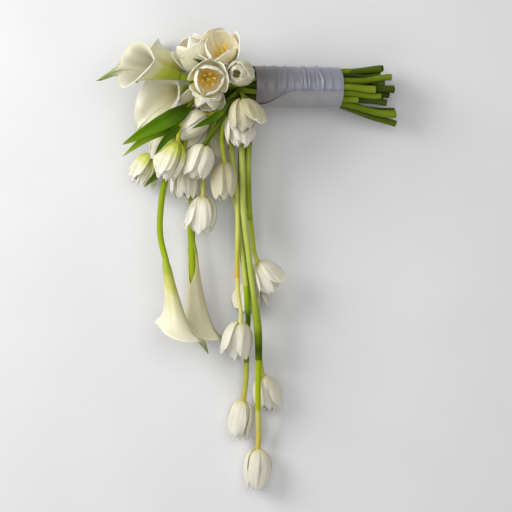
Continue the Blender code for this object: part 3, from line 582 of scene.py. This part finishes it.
def easeApart(paths, radii, held, blooms):
    # moves the stems out of each other and out of the blooms, but keeps their held points in place
    names = list(paths)
    owner = np.concatenate([[i] * len(paths[name]) for i, name in enumerate(names)])
    start = np.array([point for name in names for point in paths[name]])
    radius = np.array([radii[name] for name in names])[owner]
    fixed = np.concatenate([held[name] for name in names]).astype(bool)
    centres = np.array([bloom[1] for bloom in blooms])
    spheres = np.array([bloom[2] for bloom in blooms])
    theirs = np.array([names.index(bloom[0]) for bloom in blooms])
    stemRoom = radius[:, None] + radius[None] + stemShape["gap"]
    bloomRoom = radius[:, None] + spheres[None] + stemShape["gap"]
    otherStem = owner[:, None] != owner[None]
    otherBloom = owner[:, None] != theirs[None]
    shift = np.zeros_like(start)
    for _ in range(stemShape["rounds"]):
        points = start + shift
        push = 0.5 * pushFrom(points, points, stemRoom, otherStem)
        push += stemShape["bloomPush"] * pushFrom(points, centres, bloomRoom, otherBloom)
        push[:, 2] += np.clip(radius + stemShape["floorGap"] - points[:, 2], 0, None)
        size = np.linalg.norm(push, axis=1)[:, None] + 1e-9
        shift += stemShape["pushShare"] * push * np.minimum(1, stemShape["mostPush"] / size)
        smooth = shift.copy()
        smooth[1:-1] = 0.5 * shift[1:-1] + 0.25 * (shift[:-2] + shift[2:])
        shift = np.where(fixed[:, None], 0, smooth)
    points = start + shift
    return {name: [Vector(p) for p in points[owner == i]] for i, name in enumerate(names)}


# the corners of a petal's midline: how far out, as a share of the bloom's radius, and how high, as a share
# of its length; the shoulder's and the tip's are given closed and wide open
midline = dict(foot=3.5, belly=(1.35, 0.05),
               shoulder=((1.15, 1.5), (0.75, 0.6)), tip=((0.28, 1.85), (1.0, 0.84)))


def tepalLine(share, length, radius, opening):
    # how far from the bloom's axis, and how high, a petal's midline is so far along it
    corners = [(midline["foot"], 0.0), (midline["belly"][0] * radius, midline["belly"][1] * length)]
    for out, up in (midline["shoulder"], midline["tip"]):
        corners.append((lerp(*out, opening) * radius, lerp(*up, opening) * length))
    rest = 1 - share
    weights = (rest ** 3, 3 * rest ** 2 * share, 3 * rest * share ** 2, share ** 3)
    return [sum(w * corner[k] for w, corner in zip(weights, corners)) for k in (0, 1)]


def bloomSpheres():
    # balls inside the blooms that the stems are led past: each flower's own stem, a centre, a radius
    found = []
    for key, flower in tulips.items():
        aim = Vector(flower["aim"]).normalized()
        for share in (0.25, 0.5, 0.75):
            out, up = tepalLine(share, flower["length"], flower["radius"], max(flower["opening"]))
            found.append((f"tulip{key}", Vector(flower["base"]) + up * aim, out + 1))
    root = stemShape["calla"][1]
    for key, flower in callas.items():
        aim = Vector(flower["aim"]).normalized()
        for share in (0.15, 0.35, 0.55, 0.75, 0.9):
            out = root + (flower["mouth"] - root) * share ** 1.7
            height = share * lerp(flower["front"], flower["back"], 0.4)
            found.append((f"calla{key}", Vector(flower["base"]) + height * aim, out + 1))
    return found


def stemPaths():
    # the axis of every stem from its cut end to its bloom, led clear of the others
    chance = random.Random(7)
    paths, held, radii = {}, {}, {}
    for kind, flowers in (("tulip", tulips), ("calla", callas)):
        for key, flower in flowers.items():
            name = kind + key
            slot, aim = flower["slot"], Vector(flower["aim"]).normalized()
            cut = slotPoint(slot, handle["length"] + chance.uniform(*handle["cutLengths"]),
                            handle["cutSpread"])
            cut.y -= handle["splayed"].get(slot, 0)
            shaft = [cut, slotPoint(slot, handle["length"]), slotPoint(slot, 0)]
            knots = [shaft[-1], *map(Vector, flower.get("through", ()))]
            knots.append(Vector(flower["base"]) - stemShape["neck"] * aim)
            free = smoothPath(knots, shaft[-1] - shaft[-2], aim)[1:]
            paths[name] = shaft + free
            held[name] = [1] * (len(shaft) + 1) + [0] * (len(free) - 2) + [1]
            radii[name] = stemShape[kind][0]
    return easeApart(paths, radii, held, bloomSpheres())


def finePath(points, step, rounds=3):
    # closer points along the same way, with its corners eased
    fine = [points[0]]
    for before, after in zip(points, points[1:]):
        count = max(1, round((after - before).length / step))
        fine += [before.lerp(after, (index + 1) / count) for index in range(count)]
    for _ in range(rounds):
        middle = [0.5 * b + 0.25 * (a + c) for a, b, c in zip(fine, fine[1:], fine[2:])]
        fine = [fine[0], *middle, fine[-1]]
    return fine


def lengthsOf(points):
    lengths = [0.0]
    for before, after in zip(points, points[1:]):
        lengths.append(lengths[-1] + (after - before).length)
    return lengths


def spotOn(points, share):
    # the point so far along the path, by length, and its index
    lengths = lengthsOf(points)
    wanted = share * lengths[-1]
    for index in range(len(points) - 1):
        if wanted <= lengths[index + 1]:
            part = (wanted - lengths[index]) / (lengths[index + 1] - lengths[index])
            return index, points[index].lerp(points[index + 1], part)
    return len(points) - 2, points[-1]


paths = stemPaths()
print("stems led past each other")


def ownNoise(path):
    # where in the noise this stem reads
    return Vector((len(path), path[0].x, path[0].y))


def drawnPath(path):
    # the stem's axis in fine steps; the cut stretch bends a little, as no real one is straight
    fine = finePath(path, stemShape["fineStep"])
    cut = (path[1] - path[0]).length
    chance = ownNoise(path)
    for index, length in enumerate(lengthsOf(fine)):
        outside = ramped(cut - length, 0, cut)
        bend = [noise.noise(chance + Vector((length / 70, apart, 0))) for apart in (12, 31)]
        fine[index] += stemShape["cutBend"] * outside * Vector((0, *bend))
    return fine


def stretchOf(points, start, end):
    # the points from one length along the path to another
    whole = lengthsOf(points)[-1]
    first, low = spotOn(points, start / whole)
    last, high = spotOn(points, end / whole)
    return [low, *points[first + 1:last + 1], high]


def makeStem(name, path, sizes, materials, node, crown, joints=()):
    # crown: heights above the path's end and radii there; joints: thicker rings, in mm past the ribbon
    fine = drawnPath(path)
    lengths = lengthsOf(fine)
    first = handle["length"] + handle["cutLengths"][1]
    cut = (path[1] - path[0]).length
    chance = ownNoise(path)
    radii = []
    for length in lengths:
        share = min(1.0, max(0.0, (length - first) / (lengths[-1] - first)))
        swell = 1 + stemShape["uneven"] * noise.noise(chance + Vector((length / 26, 0, 0)))
        swell += stemShape["cutSwell"] * ramped(cut - length, 0, cut)
        for joint in joints:
            away = (length - cut - handle["length"] - joint) / stemShape["jointHalf"]
            swell += stemShape["joint"] * exp(-away * away)
        radii.append(lerp(*sizes, share ** 0.7) * swell)
    aim = (fine[-1] - fine[-2]).normalized()
    for height, radius in crown:
        fine.append(path[-1] + height * aim)
        radii.append(radius)
    work = newWork()
    bound = min(first, lengths[-1] - 1)
    painted = [0.5 * length / bound if length < bound else
               0.5 + 0.5 * (length - bound) / (lengths[-1] - bound) for length in lengths]
    painted += [1.0] * len(crown)
    caps = addTube(work, fine, radii, stemShape["sides"], painted)
    work.edges.index_update()
    rims = sorted({edge for cap in caps for edge in cap.edges}, key=lambda edge: edge.index)
    for cap in caps:
        cap.material_index = 1
    rings = bmesh.ops.inset_region(work, faces=caps, thickness=stemShape["rim"], use_boundary=True,
                                   depth=-stemShape["hollow"], use_even_offset=True)["faces"]
    for ring in rings:
        ring.material_index = 2
    bmesh.ops.bevel(work, geom=rims, offset=stemShape["edge"], offset_type="OFFSET", segments=2,
                    profile=0.5, affect="EDGES", material=-1)
    newPiece(name, work, materials, node)


# the stem widens into the receptacle that carries the petals: heights above the neck, radii
tulipCrown = ((3.2, 3.2), (4.6, 4.0), (6.0, 5.0), (7.6, 5.3), (8.4, 4.6))
for key, flower in tulips.items():
    makeStem(f"tulipStem_{key}", paths["tulip" + key], flower.get("thick", stemShape["tulip"]),
             [stemSkin(*flower.get("stem", ("mid", "mid"))), pith, cutRim], f"tulip_stem_{key}",
             tulipCrown, flower.get("joints", ()))
for key, flower in callas.items():
    thick = flower.get("thick", stemShape["calla"])
    makeStem(f"callaStem_{key}", paths["calla" + key], thick, [callaStemSkin, pith, cutRim],
             f"calla_stem_{key}",
             [(height, thick[1] - 0.2) for height in range(4, flower.get("inside", stemShape["inside"]), 4)])
print("stems made")


petal = dict(
    thickness=0.8, columns=20, rows=30,
    span=1.02,  # half of a petal's width, as a share of the bloom's radius
    widest=0.6, tip=0.5,  # where a petal is widest, and how wide its tip is
    sag=0.12, tipSag=0.11,  # how much lower its sides end than its middle
    claw=radians(24), reach=radians(65),  # how far round it goes at its foot, and above it
    innerLength=0.97, innerStep=0.9, innerLift=1.5,  # the inner petals' length, radius and height
    lengths=(0.96, 1.04),  # from the shortest petal to the longest
    crease=0.9, creaseHalf=0.11,  # the groove down its middle, and half its width
    ribs=2.0, ribCount=4.2,  # the ridges along it
    ripple=1.2, jag=5.0, jagCount=2.6,  # its wavy sides, and its torn tip
    edgeCurl=2.0, tipCurl=2.4, lean=0.1,  # how far its sides and its tip bend outwards, and the tip aside
)


def tepalWidth(share, width, tip):
    if share < petal["widest"]:
        return width * (0.25 + 0.75 * sin(0.5 * pi * share / petal["widest"]))
    past = (share - petal["widest"]) / (1 - petal["widest"])
    return width * (1 - (1 - tip) * past ** 2.2)


def addTepal(work, flower, length, radius, opening, turn, lift, style):
    width = flower.get("span", petal["span"]) * radius
    tip, rough = flower.get("tip", petal["tip"]), flower.get("rough", 1.0)
    around = Matrix.Rotation(turn, 3, "Z")
    curl, lean, phase, sharp = style

    def place(u, v):
        out, up = tepalLine(v, length, radius, opening)
        bend = lerp(1.0, 1.5, min(1.0, opening)) * out
        reach = lerp(petal["claw"], petal["reach"], min(1.0, v / 0.25))
        angle = u * min(tepalWidth(v, width, tip) / bend, reach)
        sag = petal["sag"] * length * u * u * max(0.0, v - 0.5)
        sag += petal["tipSag"] * length * abs(u) ** sharp * v ** 9
        sag += rough * petal["jag"] * noiseAt(petal["jagCount"] * u, phase, 0) * v ** 9
        groove = exp(-(u / petal["creaseHalf"]) ** 2)
        crease = -petal["crease"] * groove * sin(pi * min(1, 1.1 * v))
        ripple = rough * petal["ripple"] * abs(u) ** 3 * v * sin(phase + 8 * v + 2 * u)
        ribs = noiseAt(petal["ribCount"] * u, 1.1 * v, phase) * ramped(v, 0.05, 0.6)
        ribs *= rough * petal["ribs"]
        edges = petal["edgeCurl"] * min(1.0, opening) * u ** 4 * v * v
        raised = crease + ripple + ribs + edges + curl * v ** 5
        angle += lean * v * v
        spot = Vector((out - bend + (bend + raised) * cos(angle),
                       (bend + raised) * sin(angle), lift + up - sag))
        return around @ spot

    addSheet(work, petal["columns"], petal["rows"], place)


def makeBloom(key, flower):
    chance = random.Random(int(key))
    styles = random.Random(500 + int(key))
    work = newWork()
    for index in range(6):
        inner = index % 2
        length = flower["length"] * (petal["innerLength"] if inner else 1.0)
        length *= chance.uniform(*petal["lengths"])
        radius = flower["radius"] * (petal["innerStep"] if inner else 1.0)
        opening = max(0.0, flower["opening"][inner] + chance.uniform(0, 0.08) * (-1 if inner else 1))
        opening = flower.get("loose", {}).get(index, opening)
        turn = radians(flower["turn"] + 60 * index)
        curl = petal["tipCurl"] * (styles.uniform(-0.5, 0.0) if inner else styles.uniform(-0.1, 1.0))
        lean = flower.get("spiral", petal["lean"] * styles.uniform(-1, 1))
        style = (curl, lean, styles.uniform(0, 6.3), styles.uniform(1.3, 2.0))
        addTepal(work, flower, length, radius, opening, turn, petal["innerLift"] * inner, style)
    place = Matrix.Translation(flower["base"]) @ facing(flower["aim"])
    bloom = newPiece(f"tulipBloom_{key}", work, petalLooks[flower.get("petals", "plain")],
                     f"tulip_bloom_{key}", place, rest=0.5)
    thicken(bloom, petal["thickness"], 1)


for key, flower in tulips.items():
    makeBloom(key, flower)
print("tulip blooms made")


# the heart of an open tulip: its pistil with a stigma of three lobes, and six stamens
heart = dict(
    keys=("01", "02", "03"),
    foot=3.9, pistilTop=18.9, pistilRadii=(2.6, 3.1, 2.8, 2.0),
    lobes=3, stigmaReach=3.1, stigmaRise=1.2,
    stamens=6, lean=0.38, rootRadius=2.6, filament=10.0, filamentRadii=(0.9, 0.75, 0.5), anther=11.0,
)


def addBall(work, sides, place):
    return bmesh.ops.create_uvsphere(work, u_segments=sides, v_segments=sides // 2 + 1, radius=1.0,
                                     matrix=place)["verts"]


def makeHeart(key, flower):
    work = newWork()
    rise = heart["pistilTop"] - heart["foot"]
    heights = [heart["foot"] + rise * share for share in (0, 0.3, 0.7, 1)]
    addTube(work, [Vector((0, 0, height)) for height in heights], heart["pistilRadii"], 12)
    for index in range(heart["lobes"]):
        turn = Matrix.Rotation(radians(360 / heart["lobes"] * index), 4, "Z")
        spot = (0.55 * heart["stigmaReach"], 0, heart["pistilTop"] + heart["stigmaRise"])
        lobe = turn @ Matrix.Translation(spot)
        addBall(work, 10, lobe @ Matrix.Diagonal((heart["stigmaReach"] * 0.75, 1.7, 1.5, 1.0)))
    dusty = []
    for index in range(heart["stamens"]):
        turn = Matrix.Rotation(radians(360 / heart["stamens"] * index + 11), 4, "Z")
        way = Vector((heart["lean"], 0, 1)).normalized()
        root = Vector((heart["rootRadius"], 0, heart["foot"] + 1.0))
        stalk = [turn @ (root + way * share * heart["filament"]) for share in (0, 0.5, 1)]
        addTube(work, stalk, heart["filamentRadii"], 8)
        tip = root + way * (heart["filament"] + 0.45 * heart["anther"])
        place = turn @ Matrix.Translation(tip) @ facing(way)
        for side in (-0.6, 0.6):  # two pollen sacs side by side
            sac = place @ Matrix.Translation((0, side, 0))
            dusty += addBall(work, 10, sac @ Matrix.Diagonal((1.4, 1.2, 0.5 * heart["anther"], 1.0)))
    for face in {face for vert in dusty for face in vert.link_faces}:
        face.material_index = 1
    place = Matrix.Translation(flower["base"]) @ facing(flower["aim"])
    newPiece(f"tulipHeart_{key}", work, [pistilSkin, pollen], f"tulip_heart_{key}", place)


for key in heart["keys"]:
    makeHeart(key, tulips[key])
print("tulip hearts made")


leafShape = dict(
    rows=40, columns=12, step=3.0, thickness=0.8,
    wave=1.3,  # how far its sides wave up and down
    fold=0.25, clasp=0.95,  # how steeply its sides rise from its middle, and where it clasps its stem
)
# each leaf's stem and how far along it the leaf grows, its width, the way its face looks, the points that
# it passes through, and its tone
leaves = [
    dict(stem="14", at=0.62, width=25, face=(0.0, -0.2, 1.0),
         through=[(-100, -38, 94), (-136, -58, 101), (-181, -83, 98)]),
    dict(stem="12", at=0.92, width=17, face=(0.1, -0.2, 1.0), tone="light",
         through=[(-118, -58, 80), (-150, -74, 84), (-182, -99, 82)]),
    dict(stem="06", at=0.45, width=12, face=(0.0, -0.3, 1.0), tone="dark",
         through=[(-55, -47, 102), (-68, -53, 105), (-85, -61, 102)]),
    dict(stem="14", at=0.85, width=12, face=(0.3, -0.2, 1.0), tone="dark",
         through=[(-108, -64, 106), (-122, -78, 110), (-136, -98, 104)]),
    dict(stem="15", at=0.95, width=15, face=(0.1, 0.0, 1.0), tone="dark",
         through=[(-107, -104, 62), (-130, -119, 60), (-153, -140, 55)]),
    dict(stem="01", at=0.8, width=9, face=(0.0, 0.3, 1.0), tone="dark",
         through=[(-60, 25, 84), (-69, 30, 98), (-83, 36, 106)]),
]


def makeLeaf(number, blade):
    free = paths["tulip" + blade["stem"]][2:] + [Vector(tulips[blade["stem"]]["base"])]
    knots = [spotOn(free, blade["at"])[1], *map(Vector, blade["through"])]
    path = finePath(smoothPath(knots, knots[1] - knots[0], knots[-1] - knots[-2]),
                    leafShape["step"])
    face = Vector(blade["face"]).normalized()
    width = blade["width"]

    def place(u, v):
        spot = v * (len(path) - 1)
        index = min(int(spot), len(path) - 2)
        point = path[index].lerp(path[index + 1], spot - index)
        way = (path[index + 1] - path[index]).normalized()
        side = way.cross(face).normalized()
        up = side.cross(way)
        half = 0.5 * width * (0.3 + 0.7 * ramped(v, 0.0, 0.34)) * (1 - v ** 2.6)
        fold = lerp(leafShape["clasp"], leafShape["fold"], ramped(v, 0.0, 0.3))
        wave = leafShape["wave"] * u * abs(u) * sin(9 * v + number) * ramped(v, 0.15, 0.4) * (1 - v)
        return point + half * u * side + (fold * half * abs(u) ** 1.4 + wave) * up

    work = newWork()
    added = addSheet(work, leafShape["columns"], leafShape["rows"], place)
    bmesh.ops.remove_doubles(work, verts=added, dist=0.01)
    leaf = newPiece(f"tulipLeaf_{number}", work, [leafSkins[blade.get("tone", "mid")]],
                    f"tulip_stem_{blade['stem']}")
    thicken(leaf, leafShape["thickness"])


for number, blade in enumerate(leaves, 1):
    makeLeaf(number, blade)

# each sheath's stem, where it starts and ends in mm past the binding point (below 0 towards the cut
# ends), its radii at its start, middle and end, and its look
sheaths = [
    dict(stem="23", start=291, end=379, radii=(4.6, 5.8, 4.8), look="sheath"),
    dict(stem="18", start=60, end=166, radii=(4.0, 4.4, 3.6), look="collar"),
    dict(stem="03", start=-169, end=-119, radii=(5.4, 5.0, 4.6)),
    dict(stem="02", start=-142, end=-119, radii=(5.4, 5.1, 4.7)),
    dict(stem="06", start=-146, end=-119, radii=(5.3, 5.0, 4.6)),
]


def makeSheath(number, sheath):
    whole = paths["tulip" + sheath["stem"]]
    bound = (whole[1] - whole[0]).length + handle["length"]
    path = stretchOf(drawnPath(whole), bound + sheath["start"], bound + sheath["end"])
    low, middle, high = sheath["radii"]
    shares = [index / (len(path) - 1) for index in range(len(path))]
    radii = [lerp(low, middle, ramped(share, 0, 0.4)) + (high - middle) * ramped(share, 0.4, 1)
             for share in shares]
    work = newWork()
    addTube(work, path, radii, 18)
    newPiece(f"tulipSheath_{number}", work, [sheathLooks[sheath.get("look", "sleeve")]],
             f"tulip_stem_{sheath['stem']}")


for number, sheath in enumerate(sheaths, 1):
    makeSheath(number, sheath)
print("leaves and sheaths made")


spathe = dict(
    columns=72, rows=40, thickness=1.2,
    overlap=0.13,  # how far, as a share of half a turn, one edge lies over the other
    lap=1.1,  # and how far outside it
    roll=2.4,  # how far the rim rolls outwards
    tailWidth=0.036,  # of the thin tail, as a share of half a turn
    ripple=0.8, dent=4.0,  # its small and its large unevenness
    cornerHalf=0.3,  # half the width of a corner in the rim, in radians
    spike=22.0, spikeRadius=3.6, spikeRows=26,  # the spike of florets
)


def makeCalla(key, flower):
    mouth, flare, curl = flower["mouth"], flower["flare"], flower["curl"]
    tail, bend = flower["tail"]
    seam = radians(flower["seam"])
    cornerAngle, cornerReach = flower.get("corner", (0, 0))
    stemRadius = flower.get("thick", stemShape["calla"])[1]

    def place(u, v):
        overlap = lerp(-flower.get("gape", -spathe["overlap"]), spathe["overlap"], ramped(v, 0.2, 0.62))
        angle = pi * (u * (1 + overlap) + 1) + seam
        back = (0.5 + 0.5 * cos(angle)) ** flower["hood"]
        height = lerp(flower["front"], flower["back"], back)
        fromTip = abs((angle + pi) % (2 * pi) - pi) / pi
        thin = exp(-(fromTip / spathe["tailWidth"]) ** 2) * v ** 9
        height += tail * thin
        root = stemRadius + lerp(-0.9, 0.9, ramped(v, 0, 0.14))
        out = root + (mouth - root) * v ** flower["slender"] + flare * v ** 7
        out += spathe["lap"] * u * ramped(abs(u), 0.6, 1.0) * ramped(v, 0.02, 0.2)
        out += spathe["ripple"] * sin(5 * angle + 2) * v ** 4
        out += flower["wave"] * sin(2 * angle + 0.6) * v ** 4
        around = Vector((1.5 * cos(angle), 1.5 * sin(angle), 1.6 * v + 1 + mouth))
        aside = (angle - cornerAngle) % (2 * pi) - pi
        out += cornerReach * exp(-(aside / spathe["cornerHalf"]) ** 2) * v ** 8
        out += spathe["dent"] * noise.noise(around) * ramped(v, 0.2, 0.9) * mouth / 20
        middle = max(0.0, cos(angle))
        bent = curl * middle ** 6 * v ** 4
        fall = 0.35 * curl * middle ** 10 * v ** 8
        rolled = ramped(v, 0.86, 1.0)
        out += spathe["roll"] * rolled
        fall += 0.9 * spathe["roll"] * rolled * rolled
        return Vector((out * cos(angle) + bent, out * sin(angle) + bend * thin * v ** 6,
                       v * height - fall))

    work = newWork()
    addSheet(work, spathe["columns"], spathe["rows"], place)
    layer = work.loops.layers.uv["surface"]
    for face in work.faces:
        for loop in face.loops:  # the colours follow the rib that runs up to the tip
            across, along = loop[layer].uv
            turned = (across - 0.5) * (1 + spathe["overlap"]) + seam / (2 * pi) - 0.5
            narrow = 5.0 if flower["slender"] > 1.3 else 16.0
            loop[layer].uv = (0.5 + turned * lerp(narrow, 0.9, ramped(along, 0.75, 1.0)), along)
    place = Matrix.Translation(flower["base"]) @ facing(flower["aim"], flower["side"])
    looks = [spatheLooks[flower["look"]], liningLooks[flower.get("lining", "pale")]]
    piece = newPiece(f"callaSpathe_{key}", work, looks, f"calla_spathe_{key}", place,
                     rest=0.7)
    thicken(piece, spathe["thickness"], 1)
    low = flower.get("inside", stemShape["inside"]) - 4
    high = low + flower.get("spike", spathe["spike"])
    heights = [lerp(low, high, index / spathe["spikeRows"]) for index in range(spathe["spikeRows"] + 1)]
    radii = [spathe["spikeRadius"] * (0.8 + 0.2 * ramped(h, low, low + 12))
             * (1 - 0.95 * ramped(h, high - 8, high + 1) ** 2)
             * (1 + 0.05 * (index % 2)) for index, h in enumerate(heights)]
    work = newWork()
    addTube(work, [Vector((0, 0, height)) for height in heights], radii, 16)
    newPiece(f"callaSpadix_{key}", work, [spadixSkin], f"calla_stem_{key}", place)


for key, flower in callas.items():
    makeCalla(key, flower)
print("calla lilies made")


ribbon = dict(
    width=121.0,  # as wide as the bound stretch is long
    turns=1.42, radius=29.5, layer=0.7,  # the outer turn's radius, and how much closer the next one lies
    thickness=0.35, columns=200, rows=200,
    edgeAngle=radians(14),  # of the free end, down from the top of the handle towards -Y
    edgeDrop=radians(44),  # how much lower that end hangs at the flowers
    edgeLift=1.5,  # how far it stands off the wrap
    smooth=2.6,  # how far round from the free end, in radians, the outer turn lies smooth
    bulge=3.0,  # how far the hem bows out over the cut stems
)
# folds that run round the handle: how far along it, how high, half width, slant, and from where to where
folds = [
    (64, 1.0, 1.0, 0.02, -30, 5), (71, 1.5, 1.2, 0.03, -95, 8), (75.5, 1.1, 0.9, 0.04, -80, 6),
    (85, -1.1, 1.1, 0.02, -45, 2), (94, 2.0, 1.4, 0.06, -95, 10), (41, 1.2, 2.0, -0.04, -90, 0),
    (12, 1.1, 1.8, -0.03, -90, 10), (26, 1.4, 1.8, -0.05, -90, 5), (33, 0.8, 1.3, -0.02, -60, 0),
    (52, 0.9, 1.6, 0.03, -70, 4), (104, 0.6, 2.4, 0.02, -70, 6),
]


def foldHeight(x, angle):
    # angle: degrees from the top of the handle, towards -Y
    height = 0.5 * noiseAt(x / 7, angle / 80, 3.0)
    for at, rise, half, slant, low, high in folds:
        middle = at + slant * angle + 2.0 * noiseAt(angle / 35, at, 0)
        ends = ramped(angle, low - 25, low + 15) * (1 - ramped(angle, high - 15, high + 25))
        height += rise * ends * exp(-((x - middle) / half) ** 2)
    return height


def satinMaterial():
    # polyester satin: floats of bright thread run one way, so it shines in a band across them
    material, tree, shader = newMaterial(
        "greySatin", {"IOR": 1.5, "Sheen Weight": 0.35, "Sheen Roughness": 0.3, "Anisotropic": 0.5})
    surface = addNode(tree, "UVMap", uv_map="surface").outputs["UV"]
    here = addNode(tree, "SeparateXYZ", links={0: surface}).outputs
    threads = addNode(tree, "Mapping", {"Scale": (60.0, 120.0, 1.0)}, {0: surface})
    # real threads are 0.1 mm apart; these are 1 mm, so that they show
    weave = addNode(tree, "TexWave", {"Scale": 1.0, "Distortion": 1.5, "Detail": 2.0},
                    {"Vector": threads.outputs[0]}).outputs[1]
    solid = addNode(tree, "TexCoord").outputs["Object"]
    cloudy = addNode(tree, "TexNoise", {"Scale": 45.0, "Detail": 3.0}, {"Vector": solid}).outputs[0]
    # darker and greyer at the flowers' end, partly painted shade from the blooms, and lilac grey towards the
    # hem
    colour = addNode(tree, "ValToRGB", None, {0: here["Y"]},
                     {0: "#726e6a", 0.2: "#7c7a7c", 0.6: "#8a8a96", 1: "#8d8d9b"}).outputs[0]
    # the free outer strip painted lighter, as painted light and sheen on it; the cloudy patches are the
    # cloth's own
    colour = paintOver(tree, colour, (here["X"], {0.28: "#d0d0d0", 0.36: "#000000"}, "#a09e9c"),
                       (cloudy, {0.35: "#000000", 0.7: "#909090"}, "#6c6b72"))
    cover(tree, shader, colour, weave, (0.3, 0.42), 0.12, 0.0002)
    return material


def makeRibbon():
    tilt = Matrix.Rotation(handle["tilt"], 4, "Y")
    place = Matrix.Translation((0, 0, handle["height"])) @ tilt

    def spot(u, v):
        x = ribbon["width"] * v
        along = 0.5 * (u + 1)
        turned = 2 * pi * ribbon["turns"] * along
        start = ribbon["edgeAngle"] + ribbon["edgeDrop"] * (1 - ramped(x, 6, 62)) ** 1.5
        angle = turned + start * (1 - along)
        radius = ribbon["radius"] - ribbon["layer"] * turned / (2 * pi)
        shown = degrees(angle) % 360
        shown = shown - 360 if shown > 180 else shown
        under = ramped(turned, ribbon["smooth"], 3.6) * (1 - ramped(turned, 2 * pi, 2 * pi + 0.3))
        radius += under * foldHeight(x, shown)
        if turned < ribbon["smooth"]:
            radius += 0.25 * noiseAt(x / 30, angle, 0)
            radius += ribbon["edgeLift"] * exp(-turned / 0.07)
        bow = ribbon["bulge"] * max(0.0, cos(angle)) * ramped(v, 0.7, 1.0)
        return Vector((x + bow, -radius * sin(angle), radius * cos(angle)))

    work = newWork()
    addSheet(work, ribbon["columns"], ribbon["rows"], spot)
    piece = newPiece("ribbonWrap", work, [satinMaterial()], "ribbon_wrap", place)
    thicken(piece, ribbon["thickness"])


makeRibbon()
print("ribbon wound")


studio = dict(floorColour="#dedee0", floorRadius=4.0, worldColour="#eeeeec", worldStrength=0.31)
work = bmesh.new()
bmesh.ops.create_circle(work, cap_ends=True, segments=96, radius=studio["floorRadius"],
                        matrix=Matrix.Translation((0, 0, -0.0006)))
floorMesh = bpy.data.meshes.new("studioFloor")
work.to_mesh(floorMesh)
work.free()
newObject("studioFloor", floorMesh)
# matt backdrop paper, with a faint mottle
paper, tree, shader = newMaterial("backdropPaper", {"Roughness": 0.85})
solid = addNode(tree, "TexCoord").outputs["Object"]
grain = addNode(tree, "TexNoise", {"Scale": 6.0}, {"Vector": solid})
tone = addNode(tree, "ValToRGB", None, {0: grain.outputs[0]}, {0.3: "#dbdbdd", 0.7: studio["floorColour"]})
tree.links.new(tone.outputs["Color"], shader.inputs["Base Color"])
floorMesh.materials.append(paper)

# where each soft light stands from the middle of the picture, its width and its power in watts
lights = dict(
    key=((-1.5, 0.7, 1.1), 1.2, 32),
    top=((0.3, 0.4, 2.4), 1.8, 22),
    low=((-0.3, -1.6, 1.1), 1.2, 6),
)
middle = toWorld @ Vector((4.2, -236.6, 0))
for name, (place, width, power) in lights.items():
    lamp = bpy.data.lights.new(name, "AREA")
    lamp.size = width
    lamp.energy = power
    lit = newObject(name, lamp)
    lit.location = middle + Vector(place)
    lit.rotation_euler = (-Vector(place)).to_track_quat("-Z", "Y").to_euler()
world = bpy.data.worlds.new("studioWorld")
world.use_nodes = True
sky = world.node_tree.nodes["Background"].inputs
sky["Color"].default_value = fromHex(studio["worldColour"])
sky["Strength"].default_value = studio["worldStrength"]
scene.world = world

view = dict(
    height=3.0,  # of the lens above the table
    plane=0.06,  # the height at which one pixel of 512 is 1.4 mm
    pixel=0.0014,
    sensor=36,
)
lens = bpy.data.cameras.new("mainView")
lens.sensor_width = view["sensor"]
lens.lens = view["sensor"] * (view["height"] - view["plane"]) / (512 * view["pixel"])
scene.camera = newObject("mainView", lens)
scene.camera.location = middle + Vector((0, 0, view["height"]))
